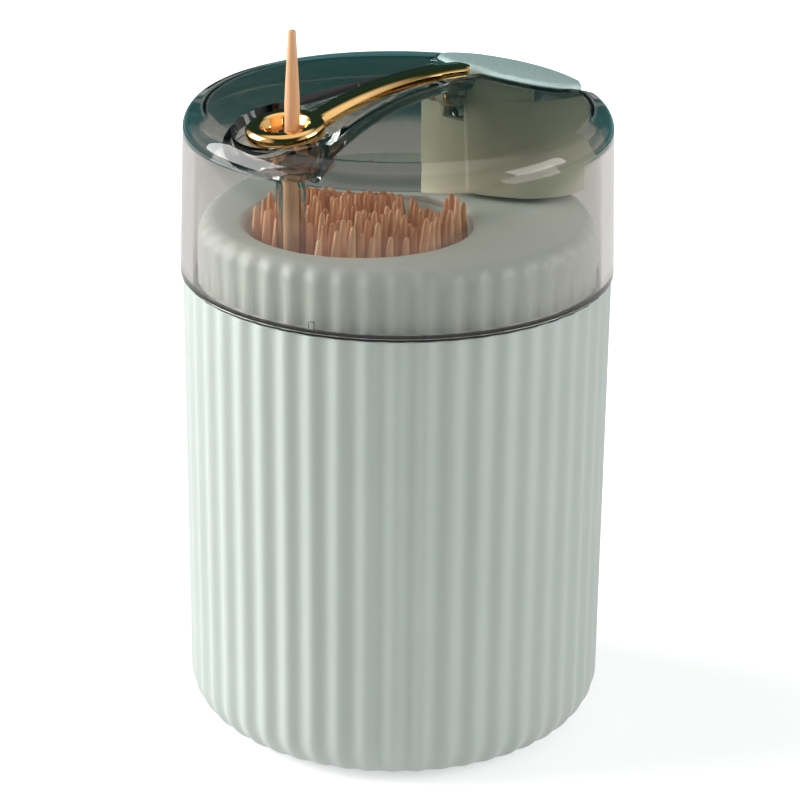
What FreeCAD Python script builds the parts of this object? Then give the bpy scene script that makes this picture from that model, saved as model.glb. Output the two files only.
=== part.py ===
# Press-type toothpick dispenser: a fluted cup with a toothpick well, and a clear domed lid
# that carries a rocking lever with a ring at one end and a press button at the other.
# Millimetres, +Z up, origin at the centre of the foot ring's bearing face.
# Lever pieces are drawn along +X and turned to the lever's bearing at the end.
import FreeCAD, Part
import math
import os
from FreeCAD import Vector, Rotation, Placement

os.makedirs("parts", exist_ok=True)

# Driving sizes of the whole
seam_height = 77.4            # lower edge of the lid
neck_height = 9.9             # from the seam to the flat top of the tray
lid_height = 30.8             # from the seam to the top of the dome
lid_foot_radius = 35.0
lid_taper = 0.65
overrun = 3.0                 # how far a cutting shape runs past what it cuts
hair_gap = 0.1                # gap between bonded or seated moulded pieces
tray_height = seam_height + neck_height
lid_apex_height = seam_height + lid_height
lid_top_radius = lid_foot_radius - lid_taper

# Cup
cup_rim_step = 0.3            # cup's crests inside the lid's edge
cup_taper = 0.5
cup_wall = 2.4                # at the rim, from the crests to the bore
cup_corner_radius = 7.5       # rounded bottom edge
cup_floor_thickness = 2.4
cup_inner_corner = 5.0
cup_flute_depth = 0.6
flute_count = 48
corner_bands = 4              # steps of the rounded edge
corner_flute_share = 0.45     # flute depth left at the end of the rounded edge
skirt_depth = 9.4             # of the tray, below the seam
ledge_width = 0.8
cup_rim_radius = lid_foot_radius - cup_rim_step      # crest of the flutes at the rim
cup_foot_radius = cup_rim_radius - cup_taper         # above the rounded bottom edge
cup_bore_radius = cup_rim_radius - cup_wall
ledge_height = seam_height - skirt_depth             # carries the tray's skirt

# Foot ring, let into the cup's underside
foot_inset = 9.2
foot_width = 5.0
foot_thickness = 1.4
foot_stand = 0.4              # how far the foot stands proud of the cup
foot_chamfer = 0.3
foot_outer_radius = cup_foot_radius - foot_inset
foot_inner_radius = foot_outer_radius - foot_width

# Tray
tray_fit = 0.1                # radial gap between the tray's skirt and the cup's bore
tray_flute_depth = 0.5
tray_skirt_wall = 1.8
tray_deck_thickness = 1.8
tray_shoulder = 3.0           # rounded edge between flutes and deck
shoulder_bands = 3
deck_width = 14.2             # tray's radius less the hole's
deck_margin = 5.86            # deck left where the hole comes nearest to the edge
lip_round = 1.2
tray_radius = cup_bore_radius - tray_fit             # crest of the flutes on the tray
hole_radius = tray_radius - deck_width               # mouth of the well
hole_offset = deck_width - deck_margin               # from the axis, on the ring's side

# Well that holds the toothpicks
well_wall = 1.3
well_depth = 63.7
well_floor_thickness = 1.6
well_round = 2.0
well_flange_width = 2.2
well_flange_thickness = 1.5
well_floor_height = tray_height - well_depth

# Seal between cup and lid
seal_thickness = 0.5
seal_width = 2.1

# Lid
lid_wall = 2.0
dome_radius = 140.0
lid_edge_round = 3.8
lid_inner_round = 3.4
rib_count = 3                 # small ribs inside the skirt that centre the lid on the tray
rib_bearing = 247.0
rib_width = 0.8
rib_height = 1.3
rib_fit = 0.12

# Press button
button_rim_width = 2.15       # lid left outside the button
button_centre_inset = 7.2
button_half_length = 9.3
button_half_width = 13.7
button_stand = 0.4            # how far the button stands proud of the dome
button_thickness = 1.3
button_bevel = 0.45
button_gap = 0.35
button_outer_radius = lid_top_radius - button_rim_width
button_centre_reach = button_outer_radius - button_centre_inset

# Lever: plan bearing, pivot and arch of the arm
lever_bearing = 44.0
pivot_span = 15.0             # from the pivot to the middle of the button
pivot_depth = 5.2             # below the top of the dome
arm_crown_lead = 6.0          # from the pivot to the highest point, towards the ring
arm_rise = 0.9                # highest point of the arm above the dome
arm_arch_radius = 83.0
arm_half_width = 2.2
arm_thickness = 1.5
arm_bevel = 0.55
arm_end_length = 5.0          # beyond the pivot
ear_gap = 1.0                 # from the lever's middle plane to the ear's inner face
ear_thickness = 0.9
ear_half_width = 1.1
bead_radius = 1.2
pin_radius = 0.6
pin_running_gap = 0.03
cheek_side_gap = 0.4          # between the ears and the clear cheeks that hold the pin
cheek_thickness = 1.0
cheek_half_width = 1.9
pivot_reach = button_centre_reach - pivot_span       # from the lid's axis
pivot_height = lid_apex_height - pivot_depth
arm_crown_reach = pivot_reach - arm_crown_lead
arm_crown_height = lid_apex_height + arm_rise
arm_end_reach = pivot_reach + arm_end_length

# Ring at the end of the arm
ring_margin = 10.15           # from the ring's middle to the lid's edge
ring_rise = 2.1375            # above the arm at the middle of the ring
ring_radius = 6.2
ring_bore_radius = 3.0
ring_mouth_radius = 3.9
ring_thickness = 2.6
ring_bevel = 0.6
ring_tilt = 7.0
ring_notch_count = 4
ring_notch_width = 1.1
ring_notch_depth = 0.8
ring_reach = lid_top_radius - ring_margin

# Keyhole pocket in the lid
pocket_depth = 3.2            # from the arm's top face to the pocket's floor
pocket_wall = 1.6
bowl_room = 1.4               # round the ring, at the floor
bowl_flare = 2.7
bowl_round = 2.2
channel_half_width = 2.6      # at the floor
channel_end_room = 1.6
channel_draft = 0.4           # widening per millimetre of height
channel_round = 1.2
channel_flare_power = 2.0
channel_station_shares = (0.0, 0.14, 0.3, 0.48, 0.68, 0.86, 1.0)
bowl_floor_radius = ring_radius + bowl_room
bowl_rim_radius = bowl_floor_radius + bowl_flare
channel_end_reach = arm_end_reach + channel_end_room

# Outlet tube under the ring
outlet_lead = 1.4             # inwards of the ring's middle
outlet_bore_radius = 1.6
outlet_wall = 0.7
outlet_dip = 5.3              # foot below the tray's deck
outlet_flange_width = 0.9
outlet_flange_thickness = 0.7
outlet_reach = ring_reach - outlet_lead
outlet_outer_radius = outlet_bore_radius + outlet_wall
outlet_flange_radius = outlet_outer_radius + outlet_flange_width
outlet_foot_height = tray_height - outlet_dip

# Well that the button sinks into, and its clips
button_well_wall = 1.3
button_well_depth = 4.6       # floor below the pivot
rim_notch_drop = 0.7          # foot of the notch below the pivot
clip_thickness = 1.2
clip_width = 2.8
button_well_floor_height = pivot_height - button_well_depth
rim_notch_height = pivot_height - rim_notch_drop

# Lever tail under the button
tail_half_width = 1.7
tail_thickness = 1.4
tail_top_drop = 0.1           # beam's top face below the pivot axis
platform_inner_length = 4.2   # from the button's middle towards the pivot
platform_outer_length = 1.8
platform_half_width = 5.0
platform_drop = 0.8           # platform's top face below the pivot axis
platform_margin = 0.6         # room round the platform and the clips
tongue_half_length = 1.1
platform_start_reach = button_centre_reach - platform_inner_length
platform_end_reach = button_centre_reach + platform_outer_length

# Housing under the button
housing_radius = 15.0
housing_lead = 2.0            # outwards of the button's middle
housing_clearance = 0.9       # above the tray's deck
housing_wall = 1.4
housing_floor_thickness = 2.4
housing_side_gap = 0.25
screw_spread = 8.6
screw_shank_radius = 1.0
screw_head_radius = 2.0
screw_head_height = 1.4
screw_tip_margin = 1.9        # post left above the screw's tip
screw_slot_width = 0.6
screw_slot_depth = 0.5
screw_slot_share = 0.6        # half the slot's length as a share of the head's radius
screw_fit = 0.02              # shank inside its hole
post_radius = 2.3
window_depth = 4.0            # how far the window for the tail reaches below the pivot
housing_reach = button_centre_reach + housing_lead
housing_foot_height = tray_height + housing_clearance
screw_tip_height = button_well_floor_height - button_well_wall - screw_tip_margin

# Return spring
spring_coil_radius = 2.3
spring_wire_radius = 0.3
spring_turns = 4
spring_end_gap = 0.02
spring_seat_radius = 1.7
spring_seat_height = 2.0
spring_reach = (platform_start_reach + platform_end_reach) / 2

# Toothpicks
pick_spare_length = 1.3       # longer than the well is deep
pick_radius = 1.1
pick_tip_radius = 0.4
pick_taper_length = 12.0
pick_sides = 6
pick_pitch = 2.75
pick_twist = 17.0             # turn of the tips against the feet, degrees
pick_jitter = 0.2
pick_foot_gap = 0.1
pick_height_spread = 3.0      # how much higher some toothpicks sit than others
turned_spare_length = 3.5     # turned toothpicks are longer than the plain ones
turned_lift_share = 0.5
turned_end_length = 16.0      # beads and grooves of the turned ends
turned_end_shares = ((0.95, 1.0), (0.86, 0.55), (0.73, 1.0), (0.63, 0.55), (0.5, 0.95),
                     (0.42, 0.55), (0.28, 0.7), (0.0, 0.35))   # below the tip, of the radius
served_radius = 1.2
served_tip_radius = 0.6
served_show = 14.4            # how far it stands above the ring
served_clearance = 0.45
spare_bearing = 35.0          # side of the well that is left empty
spare_radius = 4.9
spare_inset = 5.4             # middle of that side, from the well's wall
bead_depth_share = 0.4        # where the row of turned toothpicks starts, of the hole's radius
bead_spread_share = 0.722     # half its width
pick_length = well_depth + pick_spare_length
turned_pick_length = pick_length + turned_spare_length
spare_offset = hole_radius - spare_inset


def turned(shape, bearing=lever_bearing):
    """Turn a shape drawn along +X to its bearing on the lid."""
    shape = shape.copy()
    shape.rotate(Vector(0, 0, 0), Vector(0, 0, 1), bearing)
    return shape


def full_turn(edges):
    """Solid of revolution about Z of a closed profile of edges."""
    return Part.Face(Part.Wire(edges)).revolve(Vector(0, 0, 0), Vector(0, 0, 1), 360)


def revolved(points):
    """Solid of revolution about Z inside a closed outline of (radius, height) points."""
    return full_turn([edge_line(first, second) for first, second in zip(points, points[1:] + points[:1])])


def edge_line(first, second):
    """Straight profile edge between two (radius, height) points."""
    return Part.LineSegment(Vector(first[0], 0, first[1]), Vector(second[0], 0, second[1])).toShape()


def edge_arc(first, middle, last):
    """Profile arc through three (radius, height) points."""
    return Part.Arc(Vector(first[0], 0, first[1]), Vector(middle[0], 0, middle[1]),
                    Vector(last[0], 0, last[1])).toShape()


def cylinder(radius, low, high, x=0.0, y=0.0):
    """Upright cylinder between two heights."""
    return Part.makeCylinder(radius, high - low, Vector(x, y, low))


def block(low, high):
    """Box between two corners given as (x, y, z)."""
    size = [high[i] - low[i] for i in range(3)]
    return Part.makeBox(size[0], size[1], size[2], Vector(*low))


def fluted_wire(radius, depth, height, count):
    """Closed outline of soft flutes: crest and valley arcs in turn."""
    pitch = 2 * math.pi / count
    quarter = pitch / 4
    flank = radius - depth / 2

    def at(r, a):
        return Vector(r * math.cos(a), r * math.sin(a), height)

    edges = []
    for i in range(count):
        a = i * pitch
        edges.append(Part.Arc(at(flank, a - quarter), at(radius, a), at(flank, a + quarter)).toShape())
        edges.append(Part.Arc(at(flank, a + quarter), at(radius - depth, a + 2 * quarter),
                              at(flank, a + 3 * quarter)).toShape())
    return Part.Wire(edges)


def arm_top(reach):
    """Height of the arm's top face at a reach along the lever, button side positive."""
    return arm_crown_height - arm_arch_radius + math.sqrt(
        arm_arch_radius ** 2 - (reach - arm_crown_reach) ** 2)


def ring_top():
    """Height of the top of the ring, which rides on the arm's arch."""
    return arm_top(-ring_reach) + ring_rise


def well_centre():
    """Plan position of the well's axis."""
    a = math.radians(lever_bearing)
    return Vector(-hole_offset * math.cos(a), -hole_offset * math.sin(a), 0)


# Cup

def cup_rim_height():
    return seam_height - seal_thickness


def make_cup_shell():
    """Outer cup with flutes that run over the rounded bottom edge."""
    corner_height = foot_stand + cup_corner_radius
    wires = [fluted_wire(cup_rim_radius, cup_flute_depth, cup_rim_height(), flute_count)]
    for band in range(corner_bands + 1):
        share = band / corner_bands
        a = share * math.pi / 2
        radius = cup_foot_radius - cup_corner_radius * (1 - math.cos(a))
        height = corner_height - cup_corner_radius * math.sin(a)
        depth = cup_flute_depth * (1 - share * (1 - corner_flute_share))
        wires.append(fluted_wire(radius, depth, height, flute_count))
    body = Part.makeLoft(wires, True, True)
    floor = foot_stand + cup_floor_thickness
    low_bore = cup_bore_radius - ledge_width
    bore = cylinder(cup_bore_radius, ledge_height, cup_rim_height() + overrun)
    lower = cylinder(low_bore, floor, ledge_height)
    rounded = [e for e in lower.Edges if abs(e.BoundBox.ZMax - floor) < hair_gap]
    lower = lower.makeFillet(cup_inner_corner, rounded)
    groove = cylinder(foot_outer_radius + hair_gap, foot_stand - overrun, foot_thickness).cut(
        cylinder(foot_inner_radius - hair_gap, foot_stand - overrun, foot_thickness))
    return body.cut(bore).cut(lower).cut(groove)


def make_foot_ring():
    """Soft ring that the cup stands on."""
    ring = cylinder(foot_outer_radius, 0.0, foot_thickness).cut(
        cylinder(foot_inner_radius, 0.0, foot_thickness))
    lower = [e for e in ring.Edges if e.BoundBox.ZMax < foot_chamfer]
    return ring.makeChamfer(foot_chamfer, lower)


def make_inner_tray():
    """Fluted tray with a flat deck and an off-centre hole over the well."""
    wires = [fluted_wire(tray_radius, tray_flute_depth, seam_height, flute_count)]
    for band in range(shoulder_bands + 1):
        share = band / shoulder_bands
        a = share * math.pi / 2
        radius = tray_radius - tray_shoulder * (1 - math.cos(a))
        height = tray_height - tray_shoulder * (1 - math.sin(a))
        depth = tray_flute_depth * (1 - share * share)
        wires.append(fluted_wire(radius, max(depth, hair_gap), height, flute_count))
    neck = Part.makeLoft(wires, True, True)
    skirt = cylinder(tray_radius, ledge_height, seam_height)
    inside = cylinder(tray_radius - tray_skirt_wall, ledge_height - overrun,
                      tray_height - tray_deck_thickness)
    centre = well_centre()
    hole = cylinder(hole_radius, ledge_height, tray_height + overrun, centre.x, centre.y)
    flare = lip_round + hole_radius
    lip_profile = [
        edge_line((0.0, tray_height - lip_round), (hole_radius, tray_height - lip_round)),
        edge_arc((hole_radius, tray_height - lip_round),
                 (flare - lip_round * math.cos(math.pi / 4),
                  tray_height - lip_round * (1 - math.sin(math.pi / 4))),
                 (flare, tray_height)),
        edge_line((flare, tray_height), (flare, tray_height + overrun)),
        edge_line((flare, tray_height + overrun), (0.0, tray_height + overrun)),
        edge_line((0.0, tray_height + overrun), (0.0, tray_height - lip_round))]
    lip = full_turn(lip_profile)
    lip.translate(centre)
    return neck.fuse(skirt).cut(inside).cut(hole).cut(lip).removeSplitter()


def make_toothpick_well():
    """Round liner hung under the deck, closed at its floor."""
    centre = well_centre()
    top = tray_height - tray_deck_thickness
    outer = hole_radius + well_wall
    body = cylinder(outer, well_floor_height - well_floor_thickness, top, centre.x, centre.y)
    low = [e for e in body.Edges if e.BoundBox.ZMax < well_floor_height]
    body = body.makeFillet(well_round, low)
    flange = cylinder(outer + well_flange_width, top - well_flange_thickness, top,
                      centre.x, centre.y)
    bore = cylinder(hole_radius, well_floor_height, top + overrun, centre.x, centre.y)
    return body.fuse(flange).cut(bore).removeSplitter()


def make_seal_ring():
    """Flat seal on the cup's rim, under the lid's lower edge."""
    inner = cup_bore_radius + hair_gap
    return cylinder(inner + seal_width, cup_rim_height(), seam_height).cut(
        cylinder(inner, cup_rim_height(), seam_height))


# Lid

def dome_body(inset, low, round_radius):
    """Solid under the lid's outer surface, moved inwards by inset, from a height up."""
    top_radius = lid_top_radius - inset
    foot_radius = lid_foot_radius - inset
    sphere = dome_radius - inset
    centre_height = lid_apex_height - dome_radius
    round_height = centre_height + math.sqrt((sphere - round_radius) ** 2
                                             - (top_radius - round_radius) ** 2)
    lean = math.atan2(top_radius - round_radius, round_height - centre_height)
    join = (sphere * math.sin(lean), centre_height + sphere * math.cos(lean))
    middle = (lean + math.pi / 2) / 2
    crown = (sphere * math.sin(lean / 2), centre_height + sphere * math.cos(lean / 2))
    apex = (0.0, centre_height + sphere)
    side = (top_radius, round_height)
    on_round = (top_radius - round_radius + round_radius * math.sin(middle),
                round_height + round_radius * math.cos(middle))
    slope = (foot_radius - top_radius) / (round_height - seam_height)
    foot = (top_radius + slope * (round_height - low), low)
    profile = [edge_line((0.0, low), foot), edge_line(foot, side),
               edge_arc(side, on_round, join), edge_arc(join, crown, apex),
               edge_line(apex, (0.0, low))]
    return full_turn(profile)


def pocket_top():
    return lid_apex_height + overrun


def bowl(offset):
    """Round end of the keyhole pocket, with a rounded floor; offset makes its underside."""
    floor = arm_top(-ring_reach) - pocket_depth - offset
    floor_radius = bowl_floor_radius + offset * math.cos(math.pi / 8)
    round_radius = bowl_round + offset
    rim_level = lid_apex_height - ring_reach ** 2 / (2 * dome_radius)
    draft = (bowl_rim_radius - bowl_floor_radius) / (rim_level - floor)
    wall_foot = (floor_radius, floor + round_radius)
    wall_top = (floor_radius + draft * (pocket_top() - wall_foot[1]), pocket_top())
    corner = (floor_radius - round_radius * (1 - math.sin(math.pi / 4)),
              floor + round_radius * (1 - math.cos(math.pi / 4)))
    profile = [edge_line((0.0, floor), (floor_radius - round_radius, floor)),
               edge_arc((floor_radius - round_radius, floor), corner, wall_foot),
               edge_line(wall_foot, wall_top), edge_line(wall_top, (0.0, pocket_top())),
               edge_line((0.0, pocket_top()), (0.0, floor))]
    shape = full_turn(profile)
    shape.translate(Vector(-ring_reach, 0, 0))
    return shape


def channel_section(reach, half_width, floor, corner):
    """U-shaped section of the channel at one reach, open side up."""
    top = pocket_top()
    flare = half_width + channel_draft * (top - floor)
    cut = corner * (1 - math.cos(math.pi / 4))

    def at(y, z):
        return Vector(reach, y, z)

    return Part.Wire([
        Part.LineSegment(at(-flare, top), at(-half_width, floor + corner)).toShape(),
        Part.Arc(at(-half_width, floor + corner), at(-half_width + cut, floor + cut),
                 at(-half_width + corner, floor)).toShape(),
        Part.LineSegment(at(-half_width + corner, floor), at(half_width - corner, floor)).toShape(),
        Part.Arc(at(half_width - corner, floor), at(half_width - cut, floor + cut),
                 at(half_width, floor + corner)).toShape(),
        Part.LineSegment(at(half_width, floor + corner), at(flare, top)).toShape(),
        Part.LineSegment(at(flare, top), at(-flare, top)).toShape()])


def channel(offset):
    """Flared channel from the bowl to the pivot, its floor arched like the arm."""
    start = -ring_reach
    end = channel_end_reach + offset
    sections = []
    for share in channel_station_shares:
        reach = start + (end - start) * share
        open_share = ((end - reach) / (end - start)) ** channel_flare_power
        half_width = channel_half_width + (bowl_floor_radius - channel_half_width) * open_share + offset
        floor = arm_top(reach) - pocket_depth - offset
        sections.append(channel_section(reach, half_width, floor, channel_round + offset / 2))
    return Part.makeLoft(sections, True, False)


def pocket(offset):
    """Keyhole pocket: the void at offset 0, its underside at the wall thickness."""
    return turned(bowl(offset).fuse(channel(offset)))


def button_outline(margin):
    """Upright bar in the button's plan shape, an ellipse cut by the lid's edge, along +X."""
    outer = Part.makeCylinder(button_outer_radius + margin, pocket_top(), Vector(0, 0, 0))
    ellipse = Part.Ellipse(Vector(0, 0, 0), button_half_width + margin, button_half_length + margin)
    oval = Part.Face(Part.Wire(ellipse.toShape())).extrude(Vector(0, 0, pocket_top()))
    oval.rotate(Vector(0, 0, 0), Vector(0, 0, 1), 90)
    oval.translate(Vector(button_centre_reach, 0, 0))
    return outer.common(oval)


def between(shape, low, high):
    """Part of an upright shape between two heights."""
    reach = 2 * lid_foot_radius
    return shape.common(block((-reach, -reach, low), (reach, reach, high)))


def button_well(offset):
    """Space for the button and its travel; offset makes the wall round it."""
    low = button_well_floor_height - offset
    return turned(between(button_outline(button_gap + offset), low, pocket_top() - hair_gap))


def rim_notch():
    """Piece cut out of the lid's rim behind the button."""
    reach = 2 * lid_foot_radius
    corners = [v.Point for v in button_outline(button_gap).Vertexes if v.Point.z > rim_notch_height]
    corner = max(corners, key=lambda point: point.y)
    spread = corner.y / corner.x
    points = [Vector(corner.x, -corner.y, rim_notch_height),
              Vector(reach, -reach * spread, rim_notch_height),
              Vector(reach, reach * spread, rim_notch_height),
              Vector(corner.x, corner.y, rim_notch_height)]
    wire = Part.makePolygon(points + points[:1])
    return turned(Part.Face(wire).extrude(Vector(0, 0, pocket_top() - rim_notch_height)))


def platform_opening():
    """Opening in the well's floor and front wall for the lever's tail and platform."""
    low = button_well_floor_height - button_well_wall - overrun
    tail_top = pivot_height - tail_top_drop + hair_gap
    half_width = platform_half_width + clip_thickness + platform_margin
    floor_hole = block((platform_start_reach - platform_margin, -half_width, low),
                       (platform_end_reach + platform_margin, half_width, tail_top + button_gap))
    passage = block((pivot_reach + bead_radius, -tail_half_width - button_gap, low),
                    (platform_start_reach + platform_margin, tail_half_width + button_gap,
                     tail_top + button_gap))
    return turned(floor_hole.fuse(passage))


def ear_slot():
    """Slot in the channel's floor that the lever's ears pass through."""
    half = ear_gap + ear_thickness + 2 * button_gap
    length = ear_half_width + 2 * button_gap + hair_gap
    return turned(block((pivot_reach - length, -half, pivot_height),
                        (pivot_reach + length, half, arm_crown_height)))


def outlet_place():
    a = math.radians(lever_bearing)
    return Vector(-outlet_reach * math.cos(a), -outlet_reach * math.sin(a), 0)


def screw_places():
    """Plan positions of the two housing screws."""
    a = math.radians(lever_bearing)
    along = Vector(math.cos(a), math.sin(a), 0)
    across = Vector(-math.sin(a), math.cos(a), 0)
    return [along * button_centre_reach + across * side * screw_spread for side in (-1, 1)]


def make_lid_cover():
    """Clear domed lid with its keyhole pocket, button well, posts and guide ribs."""
    outside = dome_body(0.0, seam_height, lid_edge_round)
    inside = dome_body(lid_wall, seam_height - overrun, lid_inner_round)
    solid_parts = pocket(pocket_wall).fuse(button_well(button_well_wall))
    shell = outside.cut(inside.cut(solid_parts))
    post_foot = housing_foot_height + housing_floor_thickness
    for place in screw_places():
        post = cylinder(post_radius, post_foot, button_well_floor_height - button_well_wall / 2,
                        place.x, place.y)
        shell = shell.fuse(post)
    for index in range(rib_count):
        rib = block((tray_radius + rib_fit, -rib_width / 2, seam_height),
                    (lid_foot_radius - lid_wall / 2, rib_width / 2, seam_height + rib_height))
        shell = shell.fuse(turned(rib, rib_bearing + index * 360 / rib_count))
    shell = shell.cut(pocket(0.0)).cut(button_well(0.0)).cut(rim_notch())
    shell = shell.cut(platform_opening()).cut(ear_slot())
    place = outlet_place()
    shell = shell.cut(cylinder(outlet_outer_radius + hair_gap / 2, seam_height, pivot_height,
                               place.x, place.y))
    for place in screw_places():
        shell = shell.cut(cylinder(screw_shank_radius, post_foot - overrun,
                                   screw_tip_height, place.x, place.y))
    return shell


def make_outlet_tube():
    """Clear guide tube that keeps the served toothpick upright, flanged in the bowl."""
    place = outlet_place()
    floor = arm_top(-ring_reach) - pocket_depth
    tube = cylinder(outlet_outer_radius, outlet_foot_height, floor, place.x, place.y)
    flange = cylinder(outlet_flange_radius, floor, floor + outlet_flange_thickness, place.x, place.y)
    bore = cylinder(outlet_bore_radius, outlet_foot_height - overrun, floor + overrun, place.x, place.y)
    return tube.fuse(flange).cut(bore)


def lever_cylinder(radius, reach, height, low, high):
    """Cylinder across the lever at a reach and height, between two sideways places."""
    return Part.makeCylinder(radius, high - low, Vector(reach, low, height), Vector(0, 1, 0))


def cheek_inner():
    return ear_gap + ear_thickness + cheek_side_gap


def cheek_outer():
    return cheek_inner() + cheek_thickness


def make_pivot_bracket():
    """Two clear cheeks under the channel that hold the pivot pin."""
    cheeks = []
    for low in (cheek_inner(), -cheek_outer()):
        plate = block((pivot_reach - cheek_half_width, low, pivot_height),
                      (pivot_reach + cheek_half_width, low + cheek_thickness,
                       arm_crown_height - pocket_depth))
        eye = lever_cylinder(bead_radius, pivot_reach, pivot_height, low, low + cheek_thickness)
        cheeks.append(plate.fuse(eye))
    hole = lever_cylinder(pin_radius, pivot_reach, pivot_height,
                          -cheek_outer() - overrun, cheek_outer() + overrun)
    return turned(cheeks[0].fuse(cheeks[1]).cut(hole)).cut(pocket(pocket_wall + hair_gap / 2))


def make_pivot_pin():
    """Steel pin through the cheeks, the lever's ears and its tongue."""
    half = cheek_outer()
    return turned(lever_cylinder(pin_radius, pivot_reach, pivot_height, -half, half))


def arm_band():
    """Arched bar of the arm with bevelled top edges."""
    top = arm_crown_height
    w = arm_half_width
    section = [(-w + arm_bevel, top), (w - arm_bevel, top), (w, top - arm_bevel),
               (w, top - arm_thickness), (-w, top - arm_thickness), (-w, top - arm_bevel)]
    points = [Vector(arm_crown_reach, y, z) for y, z in section]
    face = Part.Face(Part.makePolygon(points + points[:1]))
    centre = Vector(arm_crown_reach, 0, arm_crown_height - arm_arch_radius)
    outer = math.degrees(math.asin((ring_reach - ring_radius / 2 + arm_crown_reach) / arm_arch_radius))
    inner = math.degrees(math.asin((arm_end_reach - arm_crown_reach) / arm_arch_radius))
    face.rotate(centre, Vector(0, 1, 0), inner)
    return face.revolve(centre, Vector(0, -1, 0), inner + outer)


def ring_seat(gap):
    """Upright bar as wide as the ring, tilted with it, that trims the arm's end."""
    bar = Part.makeCylinder(ring_radius + gap, 4 * ring_radius, Vector(0, 0, -2 * ring_radius))
    bar.rotate(Vector(0, 0, 0), Vector(0, 1, 0), -ring_tilt)
    bar.translate(Vector(-ring_reach, 0, ring_top() - ring_thickness / 2))
    return bar


def make_lever_arm():
    """Plated arm: arched bar and two ears with beaded eyes on the pivot."""
    band = arm_band()
    end = Part.makeCylinder(arm_half_width, arm_crown_height, Vector(arm_end_reach - arm_half_width, 0, 0))
    plan = end.fuse(block((-ring_reach - ring_radius, -arm_half_width, 0.0),
                          (arm_end_reach - arm_half_width, arm_half_width, arm_crown_height)))
    arm = band.common(plan)
    for side in (-1, 1):
        low = ear_gap if side > 0 else -ear_gap - ear_thickness
        ear = block((pivot_reach - ear_half_width, low, pivot_height),
                    (pivot_reach + ear_half_width, low + ear_thickness,
                     arm_top(pivot_reach) - arm_thickness / 2))
        bead = Part.makeSphere(bead_radius, Vector(pivot_reach, low + ear_thickness / 2, pivot_height))
        slab = block((pivot_reach - bead_radius, low, pivot_height - bead_radius),
                     (pivot_reach + bead_radius, low + ear_thickness, pivot_height + bead_radius))
        arm = arm.fuse(ear).fuse(bead.common(slab))
    hole = lever_cylinder(pin_radius + pin_running_gap, pivot_reach, pivot_height,
                          -ring_radius, ring_radius)
    return turned(arm.cut(hole).cut(ring_seat(pin_running_gap)))


def make_outlet_ring():
    """Plated ring with a funnelled and notched mouth."""
    half = ring_thickness / 2
    shape = revolved([(ring_bore_radius, -half), (ring_radius - ring_bevel, -half),
                      (ring_radius, -half + ring_bevel), (ring_radius, half - ring_bevel),
                      (ring_radius - ring_bevel, half), (ring_mouth_radius + ring_bevel / 2, half),
                      (ring_mouth_radius, half - ring_bevel / 2), (ring_bore_radius, -ring_bevel / 2)])
    for index in range(ring_notch_count):
        notch = block((0.0, -ring_notch_width / 2, -half - overrun),
                      (ring_bore_radius + ring_notch_depth, ring_notch_width / 2, half - ring_bevel))
        notch.rotate(Vector(0, 0, 0), Vector(0, 0, 1), (index + 0.5) * 360 / ring_notch_count)
        shape = shape.cut(notch)
    shape.rotate(Vector(0, 0, 0), Vector(0, 1, 0), -ring_tilt)
    shape.translate(Vector(-ring_reach, 0, ring_top() - half))
    return turned(shape)


def make_lever_tail():
    """Moulded tail: tongue between the ears, hub on the pin, beam and platform."""
    tongue_half = ear_gap - pin_running_gap
    top = pivot_height - tail_top_drop
    tongue = block((pivot_reach - tongue_half_length, -tongue_half, pivot_height),
                   (pivot_reach + tongue_half_length, tongue_half,
                    arm_top(pivot_reach) - arm_thickness - hair_gap))
    hub = lever_cylinder(bead_radius, pivot_reach, pivot_height, -tongue_half, tongue_half)
    neck = block((pivot_reach, -tongue_half, top - tail_thickness),
                 (pivot_reach + 2 * bead_radius, tongue_half, top))
    beam = block((pivot_reach + 2 * bead_radius - hair_gap, -tail_half_width, top - tail_thickness),
                 (platform_start_reach + hair_gap, tail_half_width, top))
    platform_top = pivot_height - platform_drop
    platform_foot = platform_top - tail_thickness
    platform = block((platform_start_reach, -platform_half_width, platform_foot),
                     (platform_end_reach, platform_half_width, platform_top))
    nub = cylinder(spring_seat_radius, platform_foot - spring_seat_height, platform_top, spring_reach, 0.0)
    hole = lever_cylinder(pin_radius + pin_running_gap, pivot_reach, pivot_height,
                          -ring_radius, ring_radius)
    body = tongue.fuse(hub).fuse(neck).fuse(beam).fuse(platform).fuse(nub)
    return turned(body.cut(hole).removeSplitter())


def button_surface(drop):
    """Solid below the button's top surface, which follows the dome."""
    return dome_body(drop - button_stand, seam_height, lid_edge_round + button_stand - drop)


def make_push_button():
    """Oval cap that follows the dome, with two clips onto the platform."""
    oval = button_outline(0.0)
    cap = oval.common(button_surface(0.0)).cut(button_surface(button_thickness))
    below = button_surface(button_thickness / 2)
    crest = [e for e in cap.Edges if e.BoundBox.YLength > button_bevel
             and e.BoundBox.XMax < lid_top_radius - lid_edge_round
             and not below.isInside(e.Vertexes[0].Point, hair_gap, True)]
    cap = turned(cap.makeChamfer(button_bevel, crest))
    platform_top = pivot_height - platform_drop
    for side in (-1, 1):
        low = platform_half_width if side > 0 else -platform_half_width - clip_thickness
        leg = block((button_centre_reach - clip_width / 2, low, platform_top - tail_thickness),
                    (button_centre_reach + clip_width / 2, low + clip_thickness, lid_apex_height))
        rest = block((button_centre_reach - clip_width / 2, low - side * clip_thickness, platform_top),
                     (button_centre_reach + clip_width / 2, low - side * clip_thickness + clip_thickness,
                      lid_apex_height))
        support = turned(leg.fuse(rest)).common(turned(button_surface(button_thickness / 2)))
        cap = cap.fuse(support)
    return cap


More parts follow.
